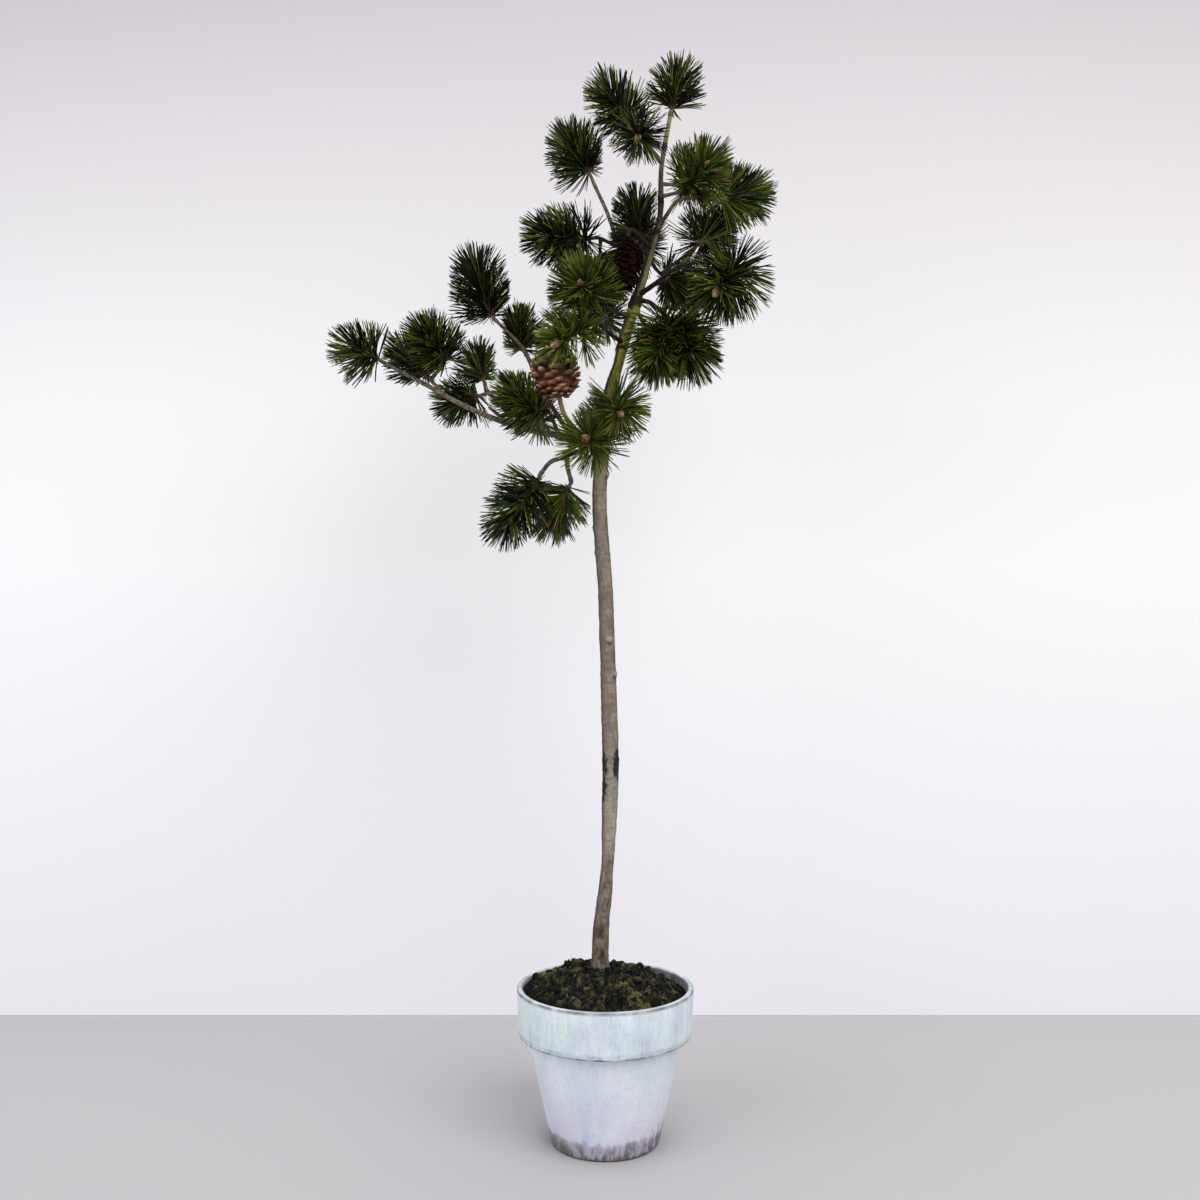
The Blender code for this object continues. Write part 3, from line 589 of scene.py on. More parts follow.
def shaded_band(wash, height, spread, strength, colour, scale):
    """Darkens a thin band at a height with painted shade, more in some spots than in others."""
    at = height / POT_HEIGHT
    band = add_ramp(tree, level, [
        (at - spread, 0.0), (at - 0.3 * spread, strength), (at + 0.3 * spread, strength), (at + spread, 0.0)
    ])
    spots = add_mottle(tree, (0.25, 0.25, 0.25), (1, 1, 1), scale, (1, 1, 1), 5)
    return add_mix(tree, times(tree, spots.outputs["Colour"], band.outputs["Color"]), wash, colour)


# The rim's lower edge is painted with shade, near black where the rim overhangs the body and fainter just above.
wash = shaded_band(wash, POT_HEIGHT - RIM_DEPTH + 0.0006, 0.011, 0.97, (0.060, 0.065, 0.075), 75)
wash = shaded_band(wash, POT_HEIGHT - RIM_DEPTH + 0.0030, 0.026, 0.42, (0.17, 0.185, 0.20), 150)
# The inner wall is darkened with painted shade, and the lip's two edges have lost most of their wash. Their distance
# from the axis tells them from the outer wall.
place = tree.nodes.new("ShaderNodeTexCoord")
flat = tree.nodes.new("ShaderNodeVectorMath")
flat.operation = "MULTIPLY"
flat.inputs[1].default_value = (1, 1, 0)
away = tree.nodes.new("ShaderNodeVectorMath")
away.operation = "LENGTH"
connect(tree, (place.outputs["Object"], flat.inputs[0]), (flat.outputs[0], away.inputs[0]))
outness = tree.nodes.new("ShaderNodeMapRange")
outness.inputs["From Min"].default_value = RIM_RADIUS - RIM_WALL - 0.002
outness.inputs["From Max"].default_value = RIM_RADIUS
connect(tree, (away.outputs["Value"], outness.inputs["Value"]))
near_lip = add_ramp(tree, level, [(0.975, 0.0), (0.992, 1.0)])
lip_wash = add_mottle(tree, (0.34, 0.37, 0.43), (0.64, 0.70, 0.74), 50, (1, 1, 1), 3)
wash = add_mix(tree, near_lip.outputs["Color"], wash, lip_wash.outputs["Colour"])
inner = add_ramp(tree, outness.outputs["Result"], [(0.24, 1.0), (0.34, 0.0)])
inner_wall_shade = times(tree, inner.outputs["Color"], on_rim.outputs["Color"])
inner_shade_tones = add_mottle(tree, (0.10, 0.10, 0.115), (0.29, 0.295, 0.335), 70, (1, 1, 0.5), 5)
wash = add_mix(tree, inner_wall_shade, wash, inner_shade_tones.outputs["Colour"])
lip_lines = add_ramp(tree, outness.outputs["Result"], [
    (0.20, 0.0), (0.28, 0.9), (0.42, 0.35), (0.62, 0.05), (0.84, 0.25), (0.95, 0.95)
])
lip_spots = add_mottle(tree, (0.35, 0.35, 0.35), (1, 1, 1), 90, (1, 1, 1), 4)
lip_mask = times(tree, times(tree, lip_lines.outputs["Color"], near_lip.outputs["Color"]), lip_spots.outputs["Colour"])
wash = add_mix(tree, lip_mask, wash, (0.085, 0.09, 0.10))
connect(tree, (wash, shader.inputs["Base Color"]))
rough = add_ramp(tree, worn.outputs["Mask"], [(0.0, 0.55), (1.0, 0.78)])
connect(tree, (rough.outputs["Color"], shader.inputs["Roughness"]))
add_grain(tree, shader, 420, 0.35, (1, 1, 0.25))
piece_from_form("clay_pot", form, whitewash, ["pot"], 50)

# %% [markdown]
# ## The plant's own measures
#
# These tables say how the plant grows, in whole millimetres as (right, away, up). They are the
# same as those of the solids, so that the fine plant keeps to the same places. A bough starts
# part of the way along its parent and runs through its path. A shoot starts on a limb, or on
# the first shoot of its own tuft, and bears its needles from its base to its bud.

# %% Trunk, boughs and shoots
TRUNK = (
    (-5, 12, 161, 9.7),
    (-5, 12, 167, 8.9),
    (-4, 11, 200, 7.8),
    (0, 8, 238, 6.8),
    (2, 5, 262, 5.9),
    (4, 2, 312, 7.4),
    (5, 0, 351, 8.0),
    (3, 0, 440, 7.5),
    (0, 0, 530, 7.2),
    (-5, 0, 640, 6.9),
    (-1, -2, 674, 6.6),
    (6, -5, 726, 5.9),
    (12, -5, 745, 5.0),
    (18, -4, 770, 5.7),
    (30, -1, 809, 5.2),
    (41, 2, 846, 3.4),
    (53, 4, 892, 2.7),
    (54, 3, 935, 2.4),
    (63, 2, 989, 2.1),
)


class Bough(NamedTuple):
    parent: str
    start: float
    foot_radius: float
    tip_radius: float
    path: tuple


BOUGHS = {
    "bough_left": Bough("trunk", 500, 3.7, 1.7, (
        (-34, -4, 676), (-63, -6, 681), (-99, -8, 691), (-137, -8, 707), (-168, -8, 724), (-212, -11, 747),
    )),
    "bough_left_fork": Bough("bough_left", 164, 1.6, 1.5, ((-167, -3, 731),)),
    "bough_left_rising": Bough("bough_left", 31, 2.5, 1.6, (
        (-51, 4, 706), (-68, 10, 739), (-78, 14, 762), (-107, 15, 793),
    )),
    "bough_left_rising_fork": Bough("bough_left_rising", 82, 1.6, 1.5, ((-78, 20, 761),)),
    "bough_left_inner": Bough("bough_left", 46, 1.9, 1.6, ((-52, -17, 696),)),
    "bough_left_outer": Bough("bough_left", 90, 1.9, 1.6, ((-99, 2, 706), (-112, 11, 721))),
    "bough_left_back": Bough("bough_left", 60, 1.9, 1.6, ((-62, 20, 688), (-64, 40, 694))),
    "bough_broken": Bough("bough_left", 96, 2.0, 1.5, ((-111, -15, 704),)),
    "bough_hanging": Bough("bough_left", 27, 2.5, 2.0, ((-42, -11, 656), (-52, -12, 652), (-61, -14, 641))),
    "bough_hanging_fork": Bough("bough_hanging", 18, 2.4, 2.0, ((-36, -8, 646), (-33, -4, 635))),
    "bough_front_low": Bough("trunk", 610, 2.2, 1.7, ((6, -26, 770), (-5, -54, 774))),
    "bough_front_high": Bough("trunk", 637, 2.2, 1.7, ((9, -26, 792), (-5, -52, 793))),
    "bough_back_middle": Bough("trunk", 617, 2.2, 1.7, ((7, 28, 790), (-3, 58, 805))),
    "bough_back_right": Bough("trunk", 647, 2.2, 1.7, ((37, 26, 794), (46, 50, 786))),
    "bough_right_low": Bough("trunk", 653, 2.3, 1.8, ((42, -5, 806), (52, -8, 798))),
    "bough_right": Bough("trunk", 658, 2.5, 1.8, ((47, -14, 821), (69, -29, 834), (96, -42, 837))),
    "bough_right_back": Bough("trunk", 697, 2.0, 1.7, ((49, 20, 845), (55, 34, 843))),
    "bough_high_left": Bough("trunk", 668, 2.5, 1.7, ((15, 20, 863), (2, 36, 904), (-10, 48, 934))),
    "bough_middle_left": Bough("trunk", 683, 2.0, 1.7, ((16, 6, 860), (-3, -6, 866))),
    "bough_right_far": Bough("trunk", 725, 2.1, 1.6, ((59, 10, 893), (73, 24, 913), (100, 40, 919))),
    "bough_right_high": Bough("trunk", 758, 1.8, 1.6, ((68, -14, 908),)),
    "bough_back_high": Bough("trunk", 770, 1.8, 1.6, ((70, 26, 929), (81, 44, 937))),
    "bough_top_left": Bough("trunk", 790, 1.9, 1.6, ((45, -5, 952), (35, -10, 962))),
}


class Shoot(NamedTuple):
    limb: str
    start: object
    base: tuple
    bud: tuple
    needle: float


TIP = "tip"
FORK = "fork"
MASSES = {
    "needles_top": (Shoot("trunk", TIP, (64, 2, 994), (69, 2, 1021), 35),),
    "needles_top_left": (
        Shoot("bough_top_left", TIP, (34, -16, 962), (30, -50, 948), 34),
        Shoot(FORK, 3, (23, -16, 981), (3, -30, 995), 35),
        Shoot(FORK, 4, (26, 16, 985), (15, 54, 1009), 35),
    ),
    "needles_high_left": (Shoot("bough_high_left", TIP, (-16, 54, 950), (-32, 66, 979), 42),),
    "needles_right_high": (Shoot("bough_right_high", TIP, (75, -20, 909), (91, -48, 921), 41),),
    "needles_right_far": (Shoot("bough_right_far", TIP, (115, 44, 921), (142, 52, 926), 40),),
    "needles_high_middle": (Shoot("trunk", 715, (38, 6, 871), (30, 12, 901), 35),),
    "needles_middle_left": (
        Shoot("bough_middle_left", TIP, (-17, -17, 863), (-53, -46, 857), 39),
        Shoot(FORK, 4, (-5, 1, 853), (5, 6, 832), 34),
    ),
    "needles_front_high": (Shoot("bough_front_high", TIP, (-12, -60, 795), (-21, -98, 800), 42),),
    "needles_front_low": (Shoot("bough_front_low", TIP, (-18, -66, 769), (-41, -102, 749), 37),),
    "needles_left_rising": (Shoot("bough_left_rising", TIP, (-110, 17, 797), (-127, 28, 843), 41),),
    "needles_left_rising_fork": (
        Shoot("bough_left_rising_fork", TIP, (-81, 23, 765), (-85, 31, 790), 35),
    ),
    "needles_left_inner": (Shoot("bough_left_inner", TIP, (-59, -22, 697), (-82, -40, 711), 37),),
    "needles_left_outer": (
        Shoot("bough_left_outer", TIP, (-119, 18, 735), (-126, 30, 756), 32),
        Shoot(FORK, 3, (-124, 15, 719), (-148, 24, 714), 33),
    ),
    "needles_left_fork": (
        Shoot("bough_left_fork", TIP, (-173, 2, 737), (-194, 19, 760), 36),
        Shoot(FORK, 3, (-154, -8, 747), (-168, -28, 769), 36),
    ),
    "needles_left_end": (Shoot("bough_left", TIP, (-217, -12, 750), (-236, -27, 756), 37),),
    "needles_hanging": (Shoot("bough_hanging", TIP, (-64, -16, 635), (-93, -36, 593), 38),),
    "needles_hanging_fork": (Shoot("bough_hanging_fork", TIP, (-35, -2, 629), (-50, 5, 600), 37),),
    "needles_low_right": (Shoot("trunk", 545, (9, -26, 706), (13, -62, 692), 42),),
    "needles_low_left": (Shoot("trunk", 488, (-9, -24, 664), (-17, -60, 667), 40),),
    "needles_right": (Shoot("bough_right", TIP, (116, -56, 828), (101, -92, 798), 51),),
    "needles_right_back": (
        Shoot("bough_right_back", TIP, (59, 40, 841), (80, 66, 834), 35),
        Shoot(FORK, 3, (95, 62, 880), (111, 98, 903), 41),
    ),
    "needles_right_low": (
        Shoot("bough_right_low", TIP, (55, -13, 786), (48, -42, 746), 44),
        Shoot(FORK, 4, (64, -15, 785), (80, -42, 750), 44),
    ),
    "needles_back_low": (Shoot("trunk", 528, (1, 34, 690), (-2, 78, 710), 37),),
    "needles_back_left": (Shoot("bough_left_back", TIP, (-65, 48, 697), (-78, 92, 718), 36),),
    "needles_back_middle": (Shoot("bough_back_middle", TIP, (-1, 66, 806), (-10, 108, 824), 39),),
    "needles_back_right": (Shoot("bough_back_right", TIP, (49, 58, 783), (70, 100, 777), 40),),
    "needles_back_centre": (Shoot("trunk", 700, (39, 40, 871), (29, 88, 886), 38),),
    "needles_back_high": (Shoot("bough_back_high", TIP, (85, 52, 941), (105, 92, 962), 36),),
}
STEM_RADIUS = 0.0016
print(len(BOUGHS), "boughs and", sum(map(len, MASSES.values())), "shoots")


# %% [markdown]
# ## The rule of growth
#
# A limb runs on a smooth curve through its rows of place and radius. A Hermite curve needs only
# the slope at each row, which numpy's gradient gives. A shoot leaves its limb's tip along the
# tip's heading, or leaves the side of a limb straight, and then bends to its own line.

# %% Curves through rows
def row(place, radius):
    return (*place, radius)


def curve_rows(rows, pieces):
    """Finer rows on a smooth curve through the given ones, with pieces to each of their spans."""
    rows = np.array(rows, dtype=float)
    spans = np.linalg.norm(np.diff(rows[:, :3], axis=0), axis=1)
    slopes = np.gradient(rows, np.concatenate([[0], np.cumsum(spans)]), axis=0)
    fine = []
    for i, span in enumerate(spans):
        for t in np.arange(pieces[i]) / pieces[i]:
            ends = (1 + 2 * t) * (1 - t) ** 2 * rows[i] + t * t * (3 - 2 * t) * rows[i + 1]
            leans = t * (1 - t) ** 2 * slopes[i] - t * t * (1 - t) * slopes[i + 1]
            fine.append(ends + leans * span)
    return np.array([*fine, rows[-1]])


def point_along(rows, distance):
    """The point of a limb at this distance from its start."""
    for a, b in zip(rows[:-1], rows[1:]):
        span = np.linalg.norm(b[:3] - a[:3])
        if distance <= span:
            break
        distance -= span
    return Vector(a[:3]).lerp(Vector(b[:3]), min(distance / span, 1))


def even_rows(rows, step):
    """Rows a step apart all along a limb."""
    spans = np.linalg.norm(np.diff(rows[:, :3], axis=0), axis=1)
    reach = np.concatenate([[0], np.cumsum(spans)])
    stops = np.linspace(0, reach[-1], max(3, round(reach[-1] / step)))
    return np.stack([np.interp(stops, reach, column) for column in rows.T], axis=1)


# %% Growing the limbs and the shoots
def grow_limbs():
    """The rows of the trunk and of every bough, each from its parent's axis to its tip."""
    trunk = [row(Vector(place) * MM, radius * MM) for *place, radius in TRUNK]
    limbs = {"trunk": curve_rows(trunk, [1] + [6] * (len(trunk) - 2))}
    for name, bough in BOUGHS.items():
        stops = [point_along(limbs[bough.parent], bough.start * MM)]
        stops += [Vector(place) * MM for place in bough.path]
        reach = np.cumsum([0] + [(b - a).length for a, b in zip(stops[:-1], stops[1:])])
        radii = bough.foot_radius + (bough.tip_radius - bough.foot_radius) * reach / reach[-1]
        rows = [row(stop, radius * MM) for stop, radius in zip(stops, radii)]
        limbs[name] = curve_rows(rows, [6] * (len(rows) - 1))
    return limbs


def grow_shoot(shoot, limbs, first):
    """The rows of a shoot's stem, and those of the axis that bears its needles."""
    base, bud = Vector(shoot.base) * MM, Vector(shoot.bud) * MM
    if shoot.start == TIP:
        limb = limbs[shoot.limb]
        heading = Vector(limb[-1][:3] - limb[-2][:3]).normalized()
        start, foot_radius = Vector(limb[-1][:3]) - heading * 2 * MM, limb[-1][3] * 0.97
    else:
        limb = first if shoot.limb == FORK else limbs[shoot.limb]
        start, foot_radius = point_along(limb, shoot.start * MM), STEM_RADIUS
        heading = (base - start).normalized()
    lead = start + heading * min(5 * MM, 0.4 * (base - start).length)
    stops = [row(start, foot_radius), row(lead, foot_radius), row(base, STEM_RADIUS), row(bud, STEM_RADIUS)]
    rows = curve_rows(stops, [2, 6, 8])
    return rows[:9], rows[8:]


limbs = grow_limbs()
shoots = []
for mass_name, mass in MASSES.items():
    first_stem = None
    for shoot in mass:
        stem, axis = grow_shoot(shoot, limbs, first_stem)
        first_stem = stem if first_stem is None else first_stem
        shoots.append((mass_name, shoot, stem, axis))
print("limbs:", len(limbs), "shoots:", len(shoots))


# %% [markdown]
# ## Bark
#
# The stem is thin barked: smooth from afar, but with low ridges along it, ring scars where side
# shoots once stood, and a few knots. Each limb starts as a small circle whose rim is extruded
# ring by ring along the limb, and each ring's radius follows a noise that is stretched along
# the limb. Where a bough leaves its parent it swells into a collar.

# %% Growing a barked limb
def frames_along(rows):
    """Two directions across each row, which turn with the limb and never twist about it."""
    ahead = np.gradient(rows[:, :3], axis=0)
    ahead /= np.linalg.norm(ahead, axis=1, keepdims=True)
    aside = Vector(ahead[0]).orthogonal().normalized()
    frames = []
    for heading in ahead:
        heading = Vector(heading)
        aside = (aside - heading * aside.dot(heading)).normalized()
        frames.append((aside.copy(), heading.cross(aside)))
    return frames


def ring_places(centre, frame_here, radius, sides, relief):
    """The points of one ring, each as far out as the relief says."""
    for k in range(sides):
        turn = math.tau * k / sides
        out = frame_here[0] * math.cos(turn) + frame_here[1] * math.sin(turn)
        yield centre + out * radius * relief(centre + out * radius)


def barked(form, rows, sides, relief, collar=0.0, collar_reach=0.006):
    """Adds one limb to a bmesh: a circle extruded along the rows, with its two ends closed."""
    frames = frames_along(rows)
    start = rows[0][:3]
    ring = bmesh.ops.create_circle(form, segments=sides, radius=rows[0][3])["verts"]
    cap = form.faces.new(reversed(ring))
    edges = list(cap.edges)
    for number, (here, frame_here) in enumerate(zip(rows, frames)):
        if number:
            made = bmesh.ops.extrude_edge_only(form, edges=edges)["geom"]
            edges = [item for item in made if isinstance(item, bmesh.types.BMEdge) and item.is_boundary]
            follows = {v: e.other_vert(v) for v in ring for e in v.link_edges if e.other_vert(v) not in ring
                       and e.other_vert(v) in {x for x in made if isinstance(x, bmesh.types.BMVert)}}
            ring = [follows[v] for v in ring]
        away = np.linalg.norm(here[:3] - start)
        radius = here[3] * (1 + collar * math.exp(-away / collar_reach))
        for vert, place in zip(ring, ring_places(Vector(here[:3]), frame_here, radius, sides, relief)):
            vert.co = place
    form.faces.new(ring)


WHORLS = ((762, 3), (806, 7), (876, 5), (906, 8), (957, 3))  # height and reach in mm


def in_whorl(point):
    """How near a point lies to a height where shoots and a year's bud scales ringed the stem."""
    ragged = point.z / MM + 3 * noise.noise(point * 260)
    return max(math.exp(-(((ragged - up) / reach) ** 2)) for up, reach in WHORLS)


def bark_relief(point):
    """Low ridges along the trunk, finer crackle over them, a slow lumpiness and the whorls."""
    ridges = noise.noise(Vector((point.x * 420, point.y * 420, point.z * 60)))
    crackle = noise.noise(point * 900)
    lumps = noise.noise(point * 70) + 0.5 * noise.noise(point * 210)
    scars = max(0.0, noise.noise(Vector((0.7, 0.2, point.z * 160))) - 0.25)
    wrinkles = noise.noise(Vector((point.x * 60, point.y * 60, point.z * 260)))
    low = 0.035 * ridges + 0.015 * crackle + 0.055 * lumps + 0.035 * wrinkles + 0.10 * scars
    return 1 + low + in_whorl(point) * (0.16 + 0.25 * noise.noise(point * 480))


def twig_relief(point):
    """Rough leaf scars all over a thin twig."""
    return 1 + 0.10 * noise.noise(point * 700) + 0.05 * noise.noise(point * 1800)


# %% Trunk
TRUNK_RING_STEP = 0.0016
KNOTS = (
    # right, away, up and radius in mm: side shoots that were lost long ago
    (2, -2, 641, 3.0),
    (12, -3, 612, 2.6),
    (-10, -1, 589, 2.0),
    (-11, -3, 566, 2.2),
    (9, -3, 449, 2.6),
    (-2, -8, 402, 2.0),
    (4, -7, 482, 2.4),
    (0, 8, 520, 2.4),
    (-7, 2, 350, 2.0),
)
trunk_rows = even_rows(limbs["trunk"], TRUNK_RING_STEP)
form = bmesh.new()
leftness = form.verts.layers.float.new("leftness")
knot = form.verts.layers.float.new("knot")
below_knot = form.verts.layers.float.new("below_knot")
whorl = form.verts.layers.float.new("whorl")
barked(form, trunk_rows, 28, bark_relief)
for *place, size in KNOTS:
    place, size = Vector(place) * MM, size * MM
    for vert in form.verts:
        near = (vert.co - place).length / (2.2 * size) * (1 + 0.3 * noise.noise(vert.co * 450))
        below = (vert.co - place + Vector((0, 0, size))).length / (2.0 * size)
        vert[below_knot] = max(vert[below_knot], 1 - below)
        if near < 1:
            out = (vert.co - Vector(point_along(limbs["trunk"], vert.co.z - 0.161))).normalized()
            vert.co += out * 0.75 * size * (1 - near**2) ** 2
            vert[knot] = 1 - near
# Each point remembers how far it lies round to the left, for the painted shade on the stem's left side.
for vert in form.verts:
    nearest = np.argmin(np.abs(trunk_rows[:, :3] - np.array(vert.co)).sum(axis=1))
    vert[leftness] = 0.5 - 0.5 * (vert.co - Vector(trunk_rows[nearest][:3])).normalized().x
    vert[whorl] = in_whorl(vert.co)
bmesh.ops.recalc_face_normals(form, faces=form.faces)

# %% Bark finish
old_bark, tree, shader = new_material("old_bark", 0.85, specular=0.25)
level = share_of_way(tree, 0.16, 0.99)
base_tone = add_ramp(tree, level, [
    (0.0, (0.040, 0.032, 0.026)),
    (0.05, (0.070, 0.058, 0.046)),
    (0.12, (0.140, 0.120, 0.094)),
    (0.15, (0.290, 0.266, 0.206)),
    (0.21, (0.300, 0.278, 0.215)),
    (0.27, (0.200, 0.170, 0.140)),
    (0.42, (0.180, 0.145, 0.122)),
    (0.56, (0.215, 0.180, 0.145)),
    (0.62, (0.190, 0.175, 0.034)),
    (0.76, (0.200, 0.190, 0.026)),
    (0.80, (0.085, 0.080, 0.024)),
    (0.85, (0.105, 0.096, 0.028)),
    (0.88, (0.040, 0.036, 0.010)),
    (0.93, (0.050, 0.041, 0.018)),
    (0.955, (0.150, 0.136, 0.044)),
    (1.0, (0.170, 0.152, 0.056)),
])
light_tone = add_ramp(tree, level, [
    (0.0, (0.210, 0.175, 0.140)),
    (0.05, (0.310, 0.270, 0.220)),
    (0.12, (0.360, 0.320, 0.255)),
    (0.20, (0.410, 0.385, 0.290)),
    (0.28, (0.330, 0.285, 0.235)),
    (0.42, (0.305, 0.245, 0.205)),
    (0.54, (0.350, 0.295, 0.245)),
    (0.60, (0.400, 0.375, 0.080)),
    (0.75, (0.440, 0.420, 0.050)),
    (0.80, (0.195, 0.186, 0.052)),
    (0.85, (0.235, 0.222, 0.062)),
    (0.88, (0.090, 0.085, 0.024)),
    (0.93, (0.100, 0.086, 0.040)),
    (0.955, (0.330, 0.305, 0.130)),
    (1.0, (0.350, 0.320, 0.150)),
])
patches = add_mottle(tree, base_tone.outputs["Color"], light_tone.outputs["Color"], 130, (1, 1, 0.45), 3.2)
rosy = add_mottle(tree, (0, 0, 0), (1, 1, 1), 120, (1, 1, 0.5), 5)
rosy_height = add_ramp(tree, level, [(0.0, 0.06), (0.20, 0.08), (0.35, 0.50), (0.62, 0.0)])
rosy_mask = times(tree, rosy.outputs["Mask"], rosy_height.outputs["Color"])
tone = add_mix(tree, rosy_mask, patches.outputs["Colour"], (0.215, 0.115, 0.072))
blotches = add_mottle(tree, (0, 0, 0), (1, 1, 1), 150, (1, 1, 0.5), 8)
blotch_height = add_ramp(tree, level, [(0.0, 0.6), (0.11, 0.75), (0.15, 0.10), (0.62, 0.0), (0.76, 0.2), (0.80, 0.7), (1.0, 0.5)])
blotch_mask = times(tree, blotches.outputs["Mask"], blotch_height.outputs["Color"])
tone = add_mix(tree, blotch_mask, tone, (0.042, 0.034, 0.024))
rust = add_mottle(tree, (0, 0, 0), (1, 1, 1), 95, (1, 1, 0.6), 9)
rust_height = add_ramp(tree, level, [(0.0, 0.9), (0.06, 0.8), (0.10, 0.0)])
rust_mask = times(tree, times(tree, rust.outputs["Mask"], patches.outputs["Mask"]), rust_height.outputs["Color"])
tone = add_mix(tree, rust_mask, tone, (0.060, 0.030, 0.013))
flecks = add_mottle(tree, (0, 0, 0), (1, 1, 1), 260, (1, 1, 0.6), 7)
fleck_height = add_ramp(tree, level, [(0.0, 0.55), (0.14, 0.35), (0.20, 0.0)])
fleck_mask = times(tree, flecks.outputs["Mask"], fleck_height.outputs["Color"])
tone = add_mix(tree, fleck_mask, tone, (0.330, 0.290, 0.225))
fibres = add_mottle(tree, (0, 0, 0), (1, 1, 1), 520, (1, 1, 0.12), 4)
rough_bark = add_ramp(tree, level, [(0.55, 1.0), (0.61, 0.25), (0.80, 0.25), (0.90, 0.7)])
fibre_ramp = add_ramp(tree, fibres.outputs["Mask"], [(0.45, 0.0), (1.0, 0.22)])
fibre_mask = times(tree, fibre_ramp.outputs["Color"], rough_bark.outputs["Color"])
tone = add_mix(tree, fibre_mask, tone, (0.120, 0.098, 0.080))
wrinkles = add_mottle(tree, (0, 0, 0), (1, 1, 1), 230, (0.5, 0.5, 1), 4)
wrinkle_ramp = add_ramp(tree, wrinkles.outputs["Mask"], [(0.35, 0.0), (1.0, 0.30)])
wrinkle_mask = times(tree, wrinkle_ramp.outputs["Color"], rough_bark.outputs["Color"])
tone = add_mix(tree, wrinkle_mask, tone, (0.115, 0.090, 0.075))
flakes = add_mottle(tree, (0, 0, 0), (1, 1, 1), 430, (1, 1, 0.55), 7)
flake_mask = add_ramp(tree, flakes.outputs["Mask"], [(0.60, 0.0), (0.95, 0.26)])
tone = add_mix(tree, flake_mask.outputs["Color"], tone, (0.075, 0.058, 0.046))
scars = add_mottle(tree, (0, 0, 0), (1, 1, 1), 330, (0.22, 0.22, 1), 9)
scar_ramp = add_ramp(tree, scars.outputs["Mask"], [(0.80, 0.0), (1.0, 0.24)])
scar_mask = times(tree, scar_ramp.outputs["Color"], rough_bark.outputs["Color"])
tone = add_mix(tree, scar_mask, tone, (0.075, 0.058, 0.048))
# Its left side is darkened with painted shade, a thin edge of it on the bare stem and half of it in the top.
ragged_left = shifted(tree, add_attribute(tree, "leftness"), patches.outputs["Mask"], 0.10)
left_third = add_ramp(tree, ragged_left, [(0.50, 0.0), (0.80, 0.42)])
below_green = add_ramp(tree, level, [(0.05, 0.4), (0.14, 0.6), (0.40, 0.9), (0.58, 0.0)])
left_shade_mask = times(tree, left_third.outputs["Color"], below_green.outputs["Color"])
tone = add_mix(tree, left_shade_mask, tone, (0.105, 0.082, 0.068))
stem_edge_shade = add_ramp(tree, ragged_left, [(0.82, 0.0), (0.96, 0.85)])
tone = add_mix(tree, stem_edge_shade.outputs["Color"], tone, (0.062, 0.048, 0.048))
olive_edge = add_ramp(tree, ragged_left, [(0.04, 0.75), (0.17, 0.0)])
on_bare_stem = add_ramp(tree, level, [(0.22, 0.3), (0.40, 1.0), (0.62, 1.0), (0.66, 0.0)])
olive_mask = times(tree, olive_edge.outputs["Color"], on_bare_stem.outputs["Color"])
tone = add_mix(tree, olive_mask, tone, (0.100, 0.100, 0.052))
crown_edge_shade = add_ramp(tree, ragged_left, [(0.64, 0.0), (0.80, 0.92)])
low_crown = add_ramp(tree, level, [(0.60, 0.0), (0.64, 1.0), (0.75, 1.0), (0.78, 0.0)])
edge_mask = times(tree, crown_edge_shade.outputs["Color"], low_crown.outputs["Color"])
tone = add_mix(tree, edge_mask, tone, (0.040, 0.026, 0.024))
in_top = add_ramp(tree, level, [
    (0.56, 0.0), (0.60, 0.15), (0.74, 0.15), (0.77, 1.0), (0.83, 1.0), (0.88, 0.35), (0.94, 0.1)
])
shaded_half = add_ramp(tree, ragged_left, [(0.48, 0.0), (0.62, 0.96)])
dark_mask = times(tree, shaded_half.outputs["Color"], in_top.outputs["Color"])
tone = add_mix(tree, dark_mask, tone, (0.020, 0.013, 0.012))
scaly = shifted(tree, add_attribute(tree, "whorl"), blotches.outputs["Mask"], 0.3)
ring_mask = add_ramp(tree, scaly, [(0.35, 0.0), (0.68, 0.94)])
tone = add_mix(tree, ring_mask.outputs["Color"], tone, (0.014, 0.009, 0.004))
BLACK = (0.012, 0.012, 0.011)
BROWN = (0.040, 0.018, 0.007)
DARK_SCABS = (
    # right, away and up, half the width and half the height in mm, the colour, and the share of
    # the way out at which it starts to fade
    (-3, -4, 364, 8.5, 20, BLACK, 0.86),
    (-4, -3, 341, 8.5, 20, BLACK, 0.86),
    (12, -5, 364, 8.5, 22, BLACK, 0.86),
    (-4, 2, 200, 7.0, 12, BROWN, 0.42),
    (-3, 3, 177, 6.0, 13, BROWN, 0.42),
    (8, -1, 262, 5.5, 15, BROWN, 0.35),
)
place = tree.nodes.new("ShaderNodeTexCoord")
for right, off, up, wide, high, colour, fade in DARK_SCABS:
    shift = tree.nodes.new("ShaderNodeMapping")
    shift.vector_type = "POINT"
    shift.inputs["Location"].default_value = (-right / wide, -off / wide, -up / high)
    shift.inputs["Scale"].default_value = (1000 / wide, 1000 / wide, 1000 / high)
    away = tree.nodes.new("ShaderNodeVectorMath")
    away.operation = "LENGTH"
    connect(tree, (place.outputs["Object"], shift.inputs[0]), (shift.outputs[0], away.inputs[0]))
    ragged = add_mottle(tree, (0, 0, 0), (1, 1, 1), 330, (1, 1, 0.6), 2)
    edge = tree.nodes.new("ShaderNodeMath")
    edge.operation = "MULTIPLY_ADD"
    edge.inputs[1].default_value = 0.5
    connect(tree, (ragged.outputs["Mask"], edge.inputs[0]), (away.outputs["Value"], edge.inputs[2]))
    scab = add_ramp(tree, edge.outputs[0], [(0.0, 1.0), (fade, 0.95), (1.0, 0.0)])
    tone = add_mix(tree, scab.outputs["Color"], tone, colour)
